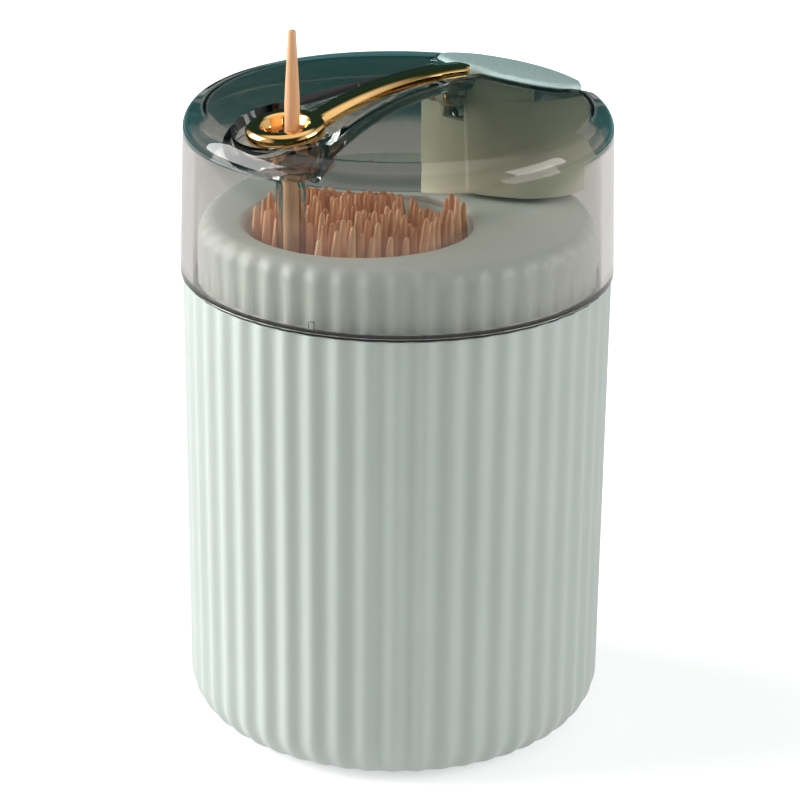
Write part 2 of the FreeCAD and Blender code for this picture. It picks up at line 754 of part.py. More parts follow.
def housing_plan(inset, low, high):
    """Upright housing outline: a round front closed by the lid's side wall."""
    front = cylinder(housing_radius - inset, low, high, housing_reach, 0.0)
    side = cylinder(lid_top_radius - lid_wall - housing_side_gap - inset, low, high)
    return turned(front.common(side))


def make_button_housing():
    """Moulded housing under the button that holds the return spring."""
    low = housing_foot_height
    floor = low + housing_floor_thickness
    body = housing_plan(0.0, low, lid_apex_height)
    body = body.cut(housing_plan(housing_wall, floor, lid_apex_height + overrun))
    body = body.common(dome_body(lid_wall + hair_gap, low - overrun, lid_inner_round - hair_gap))
    body = body.cut(pocket(pocket_wall + hair_gap)).cut(button_well(button_well_wall + hair_gap))
    window = block((0.0, -tail_half_width - 2 * button_gap, pivot_height - window_depth),
                   (platform_start_reach, tail_half_width + 2 * button_gap, lid_apex_height))
    body = body.cut(turned(window))
    seat = cylinder(spring_seat_radius, floor - hair_gap, floor + spring_seat_height, spring_reach, 0.0)
    body = body.fuse(turned(seat))
    for place in screw_places():
        body = body.cut(cylinder(screw_shank_radius + hair_gap, low - overrun, floor + overrun,
                                 place.x, place.y))
        body = body.cut(cylinder(screw_head_radius + hair_gap, low - overrun, low + screw_head_height,
                                 place.x, place.y))
    return max(body.Solids, key=lambda solid: solid.Volume)


def make_housing_screws():
    """Two pan-head screws from below into the lid's posts, as one group."""
    screws = []
    for place in screw_places():
        low = housing_foot_height
        head = cylinder(screw_head_radius, low, low + screw_head_height, place.x, place.y)
        shank = cylinder(screw_shank_radius - screw_fit, low + screw_head_height,
                         screw_tip_height - hair_gap, place.x, place.y)
        screw = head.fuse(shank)
        for turn in (0, 90):
            half = screw_head_radius * screw_slot_share
            slot = block((-half, -screw_slot_width / 2, low - overrun),
                         (half, screw_slot_width / 2, low + screw_slot_depth))
            slot.rotate(Vector(0, 0, 0), Vector(0, 0, 1), turn)
            slot.translate(Vector(place.x, place.y, 0))
            screw = screw.cut(slot)
        screws.append(screw)
    return Part.makeCompound(screws)


def biarc_edges(start, start_way, end, end_way):
    """Two tangent arcs from one point and direction to another."""
    chord = end - start
    ways = start_way + end_way
    a = 2 * (1 - start_way.dot(end_way))
    b = 2 * chord.dot(ways)
    c = -chord.dot(chord)
    reach = (-b + math.sqrt(b * b - 4 * a * c)) / (2 * a)
    first = start + start_way * reach
    second = end - end_way * reach
    join = (first + second) * 0.5
    edges = []
    for p, way, q in ((start, start_way, join), (end, end_way * -1, join)):
        span = q - p
        normal = way.cross(span)
        inward = normal.cross(way)
        inward.normalize()
        radius = span.dot(span) / (2 * span.dot(inward))
        centre = p + inward * radius
        middle = (p + q) * 0.5 - centre
        middle.normalize()
        mid = centre + middle * radius
        points = (p, mid, q) if way is start_way else (q, mid, p)
        edges.append(Part.Arc(*points).toShape())
    return edges


def make_return_spring():
    """Compression spring as one unbroken wire with level ends."""
    low = housing_foot_height + housing_floor_thickness + spring_wire_radius
    high = pivot_height - platform_drop - tail_thickness - spring_wire_radius - spring_end_gap
    pitch = (high - low) / spring_turns
    steps = 4 * spring_turns

    def at(step):
        a = step * math.pi / 2
        return Vector(spring_coil_radius * math.cos(a), spring_coil_radius * math.sin(a),
                      low + pitch * step / 4)

    def way(step):
        a = step * math.pi / 2
        v = Vector(-spring_coil_radius * math.sin(a), spring_coil_radius * math.cos(a),
                   pitch / (2 * math.pi))
        v.normalize()
        return v

    edges = []
    for step in range(steps):
        edges += biarc_edges(at(step), way(step), at(step + 1), way(step + 1))
    path = Part.Wire(edges)
    section = Part.Wire(Part.Circle(at(0), way(0), spring_wire_radius).toShape())
    wire = path.makePipeShell([section], True, False)
    length = sum(e.Length for e in edges)
    ideal = math.pi * spring_wire_radius ** 2 * length
    print("spring volume over section times length: %.4f, gap between turns %.2f mm"
          % (wire.Volume / ideal, pitch - 2 * spring_wire_radius))
    wire.translate(Vector(spring_reach, 0, 0))
    return turned(wire)


# Toothpicks

def pick_solid(profile, sides):
    """Toothpick with flat facets from (height, radius) pairs, standing on the origin."""
    step = 2 * math.pi / sides
    rings = [[Vector(radius * math.cos(i * step), radius * math.sin(i * step), height)
              for i in range(sides)] for height, radius in profile]
    outlines = [rings[0], rings[-1]]
    for low, high in zip(rings, rings[1:]):
        outlines += [[low[i - 1], low[i], high[i], high[i - 1]] for i in range(sides)]
    faces = [Part.Face(Part.makePolygon(outline + outline[:1])) for outline in outlines]
    return Part.makeSolid(Part.makeShell(faces))


def plain_profile(length):
    return [(0.0, pick_tip_radius), (pick_taper_length, pick_radius),
            (length - pick_taper_length, pick_radius), (length, pick_tip_radius)]


def turned_profile(length):
    """Toothpick with turned beads and grooves below its tip."""
    beads = [(length - turned_end_length * below, pick_radius * share)
             for below, share in turned_end_shares]
    return [(0.0, pick_tip_radius), (pick_taper_length, pick_radius)] + beads


def noise(index, salt):
    """Repeatable value between -1 and 1."""
    value = math.sin(index * 12.9898 + salt * 78.233) * 43758.5453
    return 2 * (value - math.floor(value)) - 1


def pick_places():
    """Foot, tip and lift of each toothpick in the well, and whether its end is turned."""
    centre = well_centre()
    room = hole_radius - pick_radius - pick_jitter - hair_gap
    rows = int(room / (pick_pitch * math.sqrt(3) / 2)) + 1
    columns = int(room / pick_pitch) + 1
    served = outlet_place() - centre
    a = math.radians(spare_bearing)
    spare = Vector(spare_offset * math.cos(a), spare_offset * math.sin(a), 0)
    twist = math.radians(pick_twist) / 2
    places = []
    index = 0
    for row in range(-rows, rows + 1):
        for column in range(-columns, columns + 1):
            index += 1
            x = pick_pitch * (column + (0.5 if row % 2 else 0.0))
            y = pick_pitch * math.sqrt(3) / 2 * row
            if math.hypot(x, y) > room:
                continue
            jitter = Vector(noise(index, 1) * pick_jitter, noise(index, 2) * pick_jitter, 0)
            grid = Vector(x, y, 0)
            foot = Rotation(Vector(0, 0, 1), math.degrees(-twist)).multVec(grid) - jitter
            tip = Rotation(Vector(0, 0, 1), math.degrees(twist)).multVec(grid) + jitter
            middle = (foot + tip) * 0.5
            near_served = min((tip - served).Length, (middle - served).Length)
            if near_served < outlet_outer_radius + pick_radius + served_clearance:
                continue
            if (tip - spare).Length < spare_radius or (middle - spare).Length < spare_radius:
                continue
            lift = (noise(index, 3) + 1) / 2 * pick_height_spread
            back = (tip.y > bead_depth_share * hole_radius and noise(index, 4) > 0
                    and abs(tip.x) < bead_spread_share * hole_radius)
            lift = lift * turned_lift_share if back else lift
            base = Vector(0, 0, well_floor_height + pick_foot_gap)
            places.append((centre + foot + base, centre + tip + base, lift, back))
    return places


def make_picks(turned_ends):
    """Group of the plain toothpicks, or of those with turned ends."""
    group = []
    for foot, tip, lift, back in pick_places():
        if back != turned_ends:
            continue
        length = turned_pick_length if turned_ends else pick_length
        way = Vector(tip.x - foot.x, tip.y - foot.y, length)
        profile = turned_profile(length) if turned_ends else plain_profile(length)
        shape = pick_solid(profile, pick_sides)
        shape.Placement = Placement(foot + Vector(0, 0, lift), Rotation(Vector(0, 0, 1), way))
        group.append(shape)
    return Part.makeCompound(group)


def make_served_toothpick():
    """Toothpick that stands in the outlet tube and shows through the ring."""
    low = ring_top() + served_show - pick_length
    profile = [(0.0, served_tip_radius), (pick_taper_length, served_radius),
               (pick_length - pick_taper_length, served_radius), (pick_length, served_tip_radius)]
    shape = pick_solid(profile, 2 * pick_sides)
    place = outlet_place()
    shape.translate(Vector(place.x, place.y, low))
    return shape


pieces = {
    "cup_shell": make_cup_shell,
    "foot_ring": make_foot_ring,
    "inner_tray": make_inner_tray,
    "toothpick_well": make_toothpick_well,
    "seal_ring": make_seal_ring,
    "toothpicks": lambda: make_picks(False),
    "turned_toothpicks": lambda: make_picks(True),
    "lid_cover": make_lid_cover,
    "outlet_tube": make_outlet_tube,
    "pivot_bracket": make_pivot_bracket,
    "pivot_pin": make_pivot_pin,
    "button_housing": make_button_housing,
    "housing_screws": make_housing_screws,
    "return_spring": make_return_spring,
    "lever_arm": make_lever_arm,
    "outlet_ring": make_outlet_ring,
    "lever_tail": make_lever_tail,
    "push_button": make_push_button,
    "served_toothpick": make_served_toothpick,
}

for name, make in pieces.items():
    shape = make()
    shape.exportStep("parts/%s.step" % name)
    print(name, shape.ShapeType, "solids", len(shape.Solids), "volume %.1f" % shape.Volume,
          "valid", shape.isValid())
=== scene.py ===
"""Looks of a press-type toothpick dispenser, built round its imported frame.

A fluted cup and tray, a clear domed lid with a keyhole pocket, a plated rocking
lever with a ring, a press button and the toothpicks. Sizes are in millimetres and
each finished mesh is scaled to metres once.
"""
import logging
import math
from dataclasses import dataclass, field
from enum import Enum

import bmesh
import bpy
from mathutils import Matrix, Quaternion, Vector


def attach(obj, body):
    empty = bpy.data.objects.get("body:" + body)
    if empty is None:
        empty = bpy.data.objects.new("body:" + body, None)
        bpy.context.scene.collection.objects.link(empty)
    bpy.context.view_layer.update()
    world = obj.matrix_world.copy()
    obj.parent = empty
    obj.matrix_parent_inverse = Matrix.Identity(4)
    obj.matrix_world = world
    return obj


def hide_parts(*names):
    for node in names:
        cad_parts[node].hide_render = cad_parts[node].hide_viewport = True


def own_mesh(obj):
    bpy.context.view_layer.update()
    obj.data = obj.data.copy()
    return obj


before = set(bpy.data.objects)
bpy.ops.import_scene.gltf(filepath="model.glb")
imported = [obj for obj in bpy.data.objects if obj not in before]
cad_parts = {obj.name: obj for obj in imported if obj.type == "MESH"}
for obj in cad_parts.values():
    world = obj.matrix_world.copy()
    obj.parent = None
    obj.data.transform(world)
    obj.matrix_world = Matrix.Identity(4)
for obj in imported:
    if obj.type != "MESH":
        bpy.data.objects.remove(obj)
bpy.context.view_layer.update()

log = logging.getLogger("dispenser")

MM = 0.001
WELD_MM = 1e-4
SEAM_WELD_MM = 1e-3
NOISE_STEPS = (12.9898, 78.233, 43758.5453)


class Body(Enum):
    """Bodies that a piece can ride on."""

    CUP = "cup"
    LID = "lid"
    LEVER = "lever"
    SERVED = "served"


class Draw(Enum):
    """Repeatable draws that each toothpick makes."""

    SHIFT_X = 1
    SHIFT_Y = 2
    LIFT = 3
    KIND = 4
    TONE = 5


# Colours and nodes


def linear(colour: str, alpha: float = 1.0) -> tuple[float, float, float, float]:
    """Turn an sRGB hex colour to linear light.

    Args:
        colour: Six hex digits after a hash sign.
        alpha: Opacity kept as the fourth value.

    Returns:
        Red, green, blue and alpha in linear light.
    """
    parts = [int(colour[i:i + 2], 16) / 255 for i in (1, 3, 5)]
    parts = [p / 12.92 if p <= 0.04045 else ((p + 0.055) / 1.055) ** 2.4 for p in parts]
    return parts[0], parts[1], parts[2], alpha


def add_node(tree: bpy.types.NodeTree, kind: str, inputs: dict | None = None,
             **settings: object) -> bpy.types.Node:
    """Add a node, set its properties and fill or link its sockets.

    Args:
        tree: Node tree that receives the node.
        kind: Name of the node's type.
        inputs: Socket name or number to a constant, or to an output socket to link from.
        settings: Properties of the node.

    Returns:
        The new node.
    """
    node = tree.nodes.new(kind)
    for name, value in settings.items():
        setattr(node, name, value)
    for key, value in (inputs or {}).items():
        if isinstance(value, bpy.types.NodeSocket):
            tree.links.new(value, node.inputs[key])
        else:
            node.inputs[key].default_value = value
    return node


def set_ramp(node: bpy.types.Node, stops: list[tuple[float, str]]) -> None:
    """Give a colour ramp its stops.

    Args:
        node: Colour ramp node.
        stops: Position and sRGB hex colour of each stop, in rising order.
    """
    elements = node.color_ramp.elements
    while len(elements) < len(stops):
        elements.new(0.5)
    for element, (position, colour) in zip(elements, stops):
        element.position = position
        element.color = linear(colour)


# Finishes


@dataclass(frozen=True)
class MouldedPlastic:
    """Injection-moulded ABS or PP with a fine spark-eroded grain."""

    name: str
    colour: str
    shade: str
    roughness: float = 0.42
    ior: float = 1.53
    mottle_mm: float = 22.0
    mottle_stops: tuple[float, float] = (0.3, 0.7)
    # Real grain of about 0.05 mm is too fine to show, so it is drawn at 0.45 mm.
    grain_mm: float = 0.45
    grain_height_mm: float = 0.006
    sheen_below: float = 0.04
    sheen_above: float = 0.05
    coat: float = 0.0
    coat_roughness: float = 0.12

    def build(self) -> bpy.types.Material:
        """Make the material: a hardly mottled colour, uneven sheen and fine grain."""
        material = bpy.data.materials.new(self.name)
        material.use_nodes = True
        tree = material.node_tree
        shader = tree.nodes["Principled BSDF"]
        place = add_node(tree, "ShaderNodeTexCoord").outputs["Object"]
        mottle = add_node(tree, "ShaderNodeTexNoise",
                          {"Vector": place, "Scale": 1 / (self.mottle_mm * MM), "Detail": 3.0})
        tone = add_node(tree, "ShaderNodeValToRGB", {"Fac": mottle.outputs["Fac"]})
        set_ramp(tone, list(zip(self.mottle_stops, (self.shade, self.colour))))
        tree.links.new(tone.outputs["Color"], shader.inputs["Base Color"])
        grain = add_node(tree, "ShaderNodeTexNoise",
                         {"Vector": place, "Scale": 1 / (self.grain_mm * MM), "Detail": 2.0})
        sheen = add_node(tree, "ShaderNodeMapRange",
                         {"Value": grain.outputs["Fac"],
                          "To Min": self.roughness - self.sheen_below,
                          "To Max": self.roughness + self.sheen_above})
        tree.links.new(sheen.outputs["Result"], shader.inputs["Roughness"])
        bump = add_node(tree, "ShaderNodeBump",
                        {"Height": grain.outputs["Fac"], "Distance": self.grain_height_mm * MM,
                         "Strength": 1.0})
        tree.links.new(bump.outputs["Normal"], shader.inputs["Normal"])
        shader.inputs["IOR"].default_value = self.ior
        shader.inputs["Coat Weight"].default_value = self.coat
        shader.inputs["Coat Roughness"].default_value = self.coat_roughness
        return material


@dataclass(frozen=True)
class ClearMoulding:
    """Polished SAN or acrylic: smoky clear sides, and a colour by height whose darker teal over
    the dome is painted reflection of the dark room.
    """

    name: str
    side: str
    # Colour over the dome: its darker teal is painted reflection of the dark room.
    dome: str
    low_mm: float
    high_mm: float
    roughness: float = 0.015
    ior: float = 1.5
    # Moulded walls wave by a few microns every 10 mm or so. The height is raised to show.
    wave_mm: float = 9.0
    wave_height_mm: float = 0.012

    def build(self) -> bpy.types.Material:
        """Make the material: a colour by height, darker teal over the dome as painted reflection
        of the room, and the slight waves of moulded walls.
        """
        material = bpy.data.materials.new(self.name)
        material.use_nodes = True
        tree = material.node_tree
        shader = tree.nodes["Principled BSDF"]
        place = add_node(tree, "ShaderNodeTexCoord").outputs["Object"]
        split = add_node(tree, "ShaderNodeSeparateXYZ", {"Vector": place})
        # Colour by height: the darker teal over the dome is painted reflection of the dark room.
        share = add_node(tree, "ShaderNodeMapRange",
                         {"Value": split.outputs["Z"], "From Min": self.low_mm * MM,
                          "From Max": self.high_mm * MM})
        tint_with_painted_dome = add_node(tree, "ShaderNodeValToRGB", {"Fac": share.outputs["Result"]})
        set_ramp(tint_with_painted_dome, [(0.0, self.side), (1.0, self.dome)])
        tree.links.new(tint_with_painted_dome.outputs["Color"], shader.inputs["Base Color"])
        wave = add_node(tree, "ShaderNodeTexNoise",
                        {"Vector": place, "Scale": 1 / (self.wave_mm * MM), "Detail": 1.0})
        bump = add_node(tree, "ShaderNodeBump",
                        {"Height": wave.outputs["Fac"], "Distance": self.wave_height_mm * MM,
                         "Strength": 1.0})
        tree.links.new(bump.outputs["Normal"], shader.inputs["Normal"])
        shader.inputs["Transmission Weight"].default_value = 1.0
        shader.inputs["Roughness"].default_value = self.roughness
        shader.inputs["IOR"].default_value = self.ior
        return material


@dataclass(frozen=True)
class Plating:
    """Vacuum-plated or polished metal over a moulding, mirror bright."""

    name: str
    colour: str
    worn: str
    roughness: float = 0.09
    # Handling leaves haze in patches of about 5 mm, part of a fingertip's touch.
    haze_mm: float = 5.0
    haze_stops: tuple[float, float] = (0.35, 0.6)
    duller: float = 0.04
    brighter: float = 0.03

    def build(self) -> bpy.types.Material:
        """Make the material: metal colour with a faint handling haze."""
        material = bpy.data.materials.new(self.name)
        material.use_nodes = True
        tree = material.node_tree
        shader = tree.nodes["Principled BSDF"]
        place = add_node(tree, "ShaderNodeTexCoord").outputs["Object"]
        haze = add_node(tree, "ShaderNodeTexNoise",
                        {"Vector": place, "Scale": 1 / (self.haze_mm * MM), "Detail": 4.0})
        tone = add_node(tree, "ShaderNodeValToRGB", {"Fac": haze.outputs["Fac"]})
        set_ramp(tone, list(zip(self.haze_stops, (self.worn, self.colour))))
        tree.links.new(tone.outputs["Color"], shader.inputs["Base Color"])
        gloss = add_node(tree, "ShaderNodeMapRange",
                         {"Value": haze.outputs["Fac"],
                          "To Min": self.roughness + self.duller,
                          "To Max": self.roughness - self.brighter})
        tree.links.new(gloss.outputs["Result"], shader.inputs["Roughness"])
        shader.inputs["Metallic"].default_value = 1.0
        return material


@dataclass(frozen=True)
class Birch:
    """Tumbled birch or bamboo sticks: long grain, and each stick a little different."""

    name: str
    pale: str
    warm: str
    dark: str
    roughness: float = 0.55
    # Vessels are about 0.1 mm wide and run along the stick. Drawn at 0.5 mm, so that they show.
    grain_mm: float = 0.5
    stretch: float = 18.0
    bump_mm: float = 0.02
    tone_stops: tuple[float, float, float] = (0.15, 0.5, 0.85)
    translucency: float = 0.12
    light_reach_mm: tuple[float, float, float] = (0.6, 0.3, 0.15)

    def build(self) -> bpy.types.Material:
        """Make the material: stretched grain mixed with each stick's own tone."""
        material = bpy.data.materials.new(self.name)
        material.use_nodes = True
        tree = material.node_tree
        shader = tree.nodes["Principled BSDF"]
        place = add_node(tree, "ShaderNodeTexCoord").outputs["Object"]
        along = add_node(tree, "ShaderNodeMapping",
                         {"Vector": place, "Scale": (1.0, 1.0, 1 / self.stretch)})
        grain = add_node(tree, "ShaderNodeTexNoise",
                         {"Vector": along.outputs["Vector"], "Scale": 1 / (self.grain_mm * MM),
                          "Detail": 4.0, "Roughness": 0.6})
        tone = add_node(tree, "ShaderNodeAttribute", attribute_name="tone")
        blend = add_node(tree, "ShaderNodeMath",
                         {0: grain.outputs["Fac"], 1: tone.outputs["Fac"]}, operation="ADD")
        half = add_node(tree, "ShaderNodeMath", {0: blend.outputs["Value"], 1: 0.5},
                        operation="MULTIPLY")
        ramp = add_node(tree, "ShaderNodeValToRGB", {"Fac": half.outputs["Value"]})
        set_ramp(ramp, list(zip(self.tone_stops, (self.dark, self.warm, self.pale))))
        tree.links.new(ramp.outputs["Color"], shader.inputs["Base Color"])
        bump = add_node(tree, "ShaderNodeBump",
                        {"Height": grain.outputs["Fac"], "Distance": self.bump_mm * MM,
                         "Strength": 1.0})
        tree.links.new(bump.outputs["Normal"], shader.inputs["Normal"])
        shader.inputs["Roughness"].default_value = self.roughness
        shader.inputs["Subsurface Weight"].default_value = self.translucency
        shader.inputs["Subsurface Radius"].default_value = tuple(
            reach * MM for reach in self.light_reach_mm)
        return material


@dataclass
class Palette:
    """Every finish of the dispenser, built once."""

    mint: bpy.types.Material = field(init=False)
    tray: bpy.types.Material = field(init=False)
    pale: bpy.types.Material = field(init=False)
    button: bpy.types.Material = field(init=False)
    rubber: bpy.types.Material = field(init=False)
    seal: bpy.types.Material = field(init=False)
    clear: bpy.types.Material = field(init=False)
    fitting: bpy.types.Material = field(init=False)
    gold: bpy.types.Material = field(init=False)
    steel: bpy.types.Material = field(init=False)
    birch: bpy.types.Material = field(init=False)

    def __post_init__(self) -> None:
        """Build the materials."""
        # ABS from a spark-eroded mould: soft bands of light run down the flutes, no mirror image.
        self.mint = MouldedPlastic("satin_mint_abs", "#C8D0CB", "#C4CCC7").build()
        # The same ABS, a little warmer, which keeps the tray apart from the cup under the lid.
        self.tray = MouldedPlastic("satin_mint_tray_abs", "#CDD4CB", "#C9D0C7").build()
        # Moulded PP: dull and slightly waxy, so the housing shows no highlight of its own.
        self.pale = MouldedPlastic("cream_moulded_pp", "#C8C6AC", "#C1BFA5",
                                   roughness=0.75).build()
        # ABS from a polished mould: a clean pale face with a broad reflection.
        self.button = MouldedPlastic("glossy_mint_button_abs", "#D6F0EC", "#D2ECE8",
                                     roughness=0.28, coat=0.5, grain_height_mm=0.002).build()
        # Moulded foot rubber, dull and dark grey; its darkness is also painted shadow, a shadow
        # line along the foot.
        self.rubber = MouldedPlastic("grey_foot_rubber_and_painted_shadow", "#6E7A77", "#687370", roughness=0.75,
                                     ior=1.5).build()
        # Silicone seal, darkened to a thin dark line: painted shadow of the gap at the seam.
        self.seal = ClearMoulding("seal_silicone_painted_gap_shadow", "#5A605C", "#5A605C", 0.0, 1.0,
                                  roughness=0.3, ior=1.42).build()
        # Polished acrylic: smoky clear sides and sharp edges of light. The dome's darker teal, set
        # by height, is painted reflection of the dark room.
        self.clear = ClearMoulding("clear_lid_acrylic_painted_dome_reflection", "#D2CFCC", "#A3A5A0", 100.0, 104.5).build()
        # Acrylic fittings that all but vanish inside the lid. Their IOR is kept low for that.
        self.fitting = ClearMoulding("clear_fitting_acrylic", "#DCE0DE", "#DCE0DE", 0.0, 1.0,
                                     ior=1.06).build()
        # Gold plating on a polished moulding: warm mirror, dark where it faces the dark room.
        self.gold = Plating("polished_gold_plating", "#F8CB85", "#F0BD74").build()
        # Drawn steel: bright with slightly soft reflections.
        self.steel = Plating("bright_steel", "#C9C9CB", "#BDBDC0", roughness=0.2).build()
        # Tumbled birch: dry and fine-grained, and no two sticks have quite the same tone.
        self.birch = Birch("tumbled_birch", "#F8CCA0", "#E4A877", "#C28153").build()


# Meshes


def new_piece(mesh: bmesh.types.BMesh, name: str, finish: bpy.types.Material, body: Body,
              replaces: tuple[str, ...], sharp_deg: float = 35.0,
              outward: bool = True) -> bpy.types.Object:
    """Turn a bmesh in millimetres into a piece that rides on a body.

    Args:
        mesh: Closed mesh in millimetres, in the row's frame. It is freed.
        name: Name of the piece.
        finish: Material of the whole piece.
        body: Body that it moves with.
        replaces: Nodes that it stands for.
        sharp_deg: Edges sharper than this stay hard.
        outward: Whether to recalculate the normals.

    Returns:
        The new object.
    """
    if outward:
        bmesh.ops.recalc_face_normals(mesh, faces=mesh.faces)
    bmesh.ops.scale(mesh, vec=(MM, MM, MM), verts=mesh.verts)
    data = bpy.data.meshes.new(name)
    mesh.to_mesh(data)
    mesh.free()
    data.shade_smooth()
    data.set_sharp_from_angle(angle=math.radians(sharp_deg))
    data.materials.append(finish)
    piece = bpy.data.objects.new(name, data)
    bpy.context.scene.collection.objects.link(piece)
    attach(piece, body.value)
    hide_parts(*replaces)
    log.info("%s: %d faces on %s", name, len(data.polygons), body.value)
    return piece


def node_copy(node: str) -> bmesh.types.BMesh:
    """Copy a node's mesh into a merged bmesh in millimetres.

    Args:
        node: Name of the node.

    Returns:
        The copy, with its doubles merged.
    """
    mesh = bmesh.new()
    mesh.from_mesh(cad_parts[node].data)
    bmesh.ops.scale(mesh, vec=(1 / MM, 1 / MM, 1 / MM), verts=mesh.verts)
    bmesh.ops.remove_doubles(mesh, verts=mesh.verts, dist=WELD_MM)
    return mesh


def join(mesh: bmesh.types.BMesh, part: bmesh.types.BMesh) -> None:
    """Add a part to a mesh and free the part.

    Args:
        mesh: Mesh that receives it.
        part: Mesh to add.
    """
    data = bpy.data.meshes.new("part")
    part.to_mesh(data)
    part.free()
    mesh.from_mesh(data)
    bpy.data.meshes.remove(data)


def lathe(profile: list[tuple[float, float]], steps: int) -> bmesh.types.BMesh:
    """Turn a profile of (radius, height) points about Z.

    Args:
        profile: Points from one end of the outline to the other.
        steps: Number of steps of the full turn.

    Returns:
        The turned mesh, with its poles and seam merged.
    """
    mesh = bmesh.new()
    verts = [mesh.verts.new((radius, 0.0, height)) for radius, height in profile]
    edges = [mesh.edges.new(pair) for pair in zip(verts, verts[1:])]
    bmesh.ops.spin(mesh, geom=verts + edges, cent=(0, 0, 0), axis=(0, 0, 1),
                   angle=2 * math.pi, steps=steps, use_merge=True)
    bmesh.ops.remove_doubles(mesh, verts=mesh.verts, dist=WELD_MM)
    return mesh


def round_points(centre: tuple[float, float], radius: float, start_deg: float, end_deg: float,
                 steps: int) -> list[tuple[float, float]]:
    """Points of an arc in the (radius, height) plane.

    Args:
        centre: Centre of the arc.
        radius: Its radius.
        start_deg: First angle, from the outward direction upwards.
        end_deg: Last angle.
        steps: Number of steps between them.

    Returns:
        The points, both ends included.
    """
    points = []
    for step in range(steps + 1):
        a = math.radians(start_deg + (end_deg - start_deg) * step / steps)
        points.append((centre[0] + radius * math.cos(a), centre[1] + radius * math.sin(a)))
    return points


@dataclass
class FlutedWall:
    """Wall of soft flutes made from one flute that is spun into the whole round."""

    count: int = 48
    steps: int = 16

    def build(self, rows: list[tuple[float, float, float]]) -> bmesh.types.BMesh:
        """Build the open wall from its rows.

        Args:
            rows: Crest radius, flute depth and height of each row, in order.

        Returns:
            The wall, its seams merged.
        """
        mesh = bmesh.new()
        pitch = 2 * math.pi / self.count
        line = [mesh.verts.new(self.point(rows[0], pitch * step / self.steps))
                for step in range(self.steps + 1)]
        edges = [mesh.edges.new(pair) for pair in zip(line, line[1:])]
        for row in rows[1:]:
            made = bmesh.ops.extrude_edge_only(mesh, edges=edges)["geom"]
            fresh = [v for v in made if isinstance(v, bmesh.types.BMVert)]
            edges = [e for e in made if isinstance(e, bmesh.types.BMEdge)
                     and e.verts[0] in fresh and e.verts[1] in fresh]
            for vert in fresh:
                vert.co = self.point(row, math.atan2(vert.co.y, vert.co.x))
        bmesh.ops.spin(mesh, geom=mesh.verts[:] + mesh.edges[:] + mesh.faces[:], cent=(0, 0, 0),
                       axis=(0, 0, 1), angle=2 * math.pi, steps=self.count, use_duplicate=True)
        bmesh.ops.remove_doubles(mesh, verts=mesh.verts, dist=SEAM_WELD_MM)
        return mesh

    def point(self, row: tuple[float, float, float], angle: float) -> Vector:
        """Place of a wall point.

        Args:
            row: Crest radius, flute depth and height of its row.
            angle: Its angle about Z.

        Returns:
            The place.
        """
        crest, depth, height = row
        radius = crest - depth / 2 + depth / 2 * math.cos(self.count * angle)
        return Vector((radius * math.cos(angle), radius * math.sin(angle), height))


def rim_edges(mesh: bmesh.types.BMesh, height: float) -> list[bmesh.types.BMEdge]:
    """Open edges of a mesh that lie at a height."""
    return [e for e in mesh.edges if e.is_boundary
            and all(abs(v.co.z - height) < SEAM_WELD_MM for v in e.verts)]


@dataclass
class Cup:
    """Outer cup, foot, well and seal."""

    palette: Palette
    rim_radius: float = 34.7
    foot_radius: float = 34.2
    corner_radius: float = 7.5
    flute_depth: float = 0.6
    corner_flute_share: float = 0.45
    foot_stand: float = 0.4
    floor_thickness: float = 2.4
    rim_height: float = 76.9
    rim_round: float = 0.5
    bore_radius: float = 32.3
    ledge_height: float = 68.0
    ledge_width: float = 0.8
    groove_inner: float = 19.9
    groove_outer: float = 25.1
    groove_top: float = 1.4
    inner_corner: float = 5.0
    rim_flute_depth: float = 0.1
    rim_turn_share: float = 0.3
    rim_flute_share: float = 0.7
    corner_steps: int = 14
    inner_corner_steps: int = 6
    wall_steps: int = 6
    round_steps: int = 96

    def shell(self) -> None:
        """Fluted shell: flutes fade round the bottom edge, the bore is stepped."""
        rows = [(self.rim_radius - self.rim_round, self.rim_flute_depth, self.rim_height),
                (self.rim_radius - self.rim_round * self.rim_turn_share,
                 self.flute_depth * self.rim_flute_share,
                 self.rim_height - self.rim_round * self.rim_turn_share),
                (self.rim_radius, self.flute_depth, self.rim_height - self.rim_round)]
        corner_height = self.foot_stand + self.corner_radius
        for step in range(1, self.wall_steps + 1):
            share = step / self.wall_steps
            rows.append((self.rim_radius + (self.foot_radius - self.rim_radius) * share,
                         self.flute_depth, self.rim_height - self.rim_round
                         + (corner_height - self.rim_height + self.rim_round) * share))
        for step in range(1, self.corner_steps + 1):
            share = step / self.corner_steps
            a = share * math.pi / 2
            rows.append((self.foot_radius - self.corner_radius * (1 - math.cos(a)),
                         self.flute_depth * (1 - share * (1 - self.corner_flute_share)),
                         corner_height - self.corner_radius * math.sin(a)))
        wall = FlutedWall().build(rows)
        low = self.foot_stand
        inside = lathe([(self.groove_outer, low), (self.groove_outer, self.groove_top),
                        (self.groove_inner, self.groove_top), (self.groove_inner, low),
                        (0.0, low)], self.round_steps)
        ledge = self.bore_radius - self.ledge_width
        floor = low + self.floor_thickness
        corner = self.inner_corner
        bore = lathe([(self.bore_radius, self.rim_height), (self.bore_radius, self.ledge_height),
                      (ledge, self.ledge_height)]
                     + round_points((ledge - corner, floor + corner), corner, 0, -90,
                                    self.inner_corner_steps)
                     + [(0.0, floor)], self.round_steps)
        for part in (inside, bore):
            join(wall, part)
        for height in (self.foot_stand, self.rim_height):
            bmesh.ops.triangle_fill(wall, edges=rim_edges(wall, height), use_beauty=True)
        new_piece(wall, "cup_shell_fluted", self.palette.mint, Body.CUP,
                  ("cup_shell",))

    def build(self) -> None:
        """Build the cup's pieces."""
        self.shell()
        for node, finish, slot in (("foot_ring", self.palette.rubber, "soft_rubber"),
                                   ("toothpick_well", self.palette.tray, "mint_tray"),
                                   ("seal_ring", self.palette.seal, "clear_seal")):
            new_piece(node_copy(node), node + "_dressed", finish, Body.CUP, (node,))


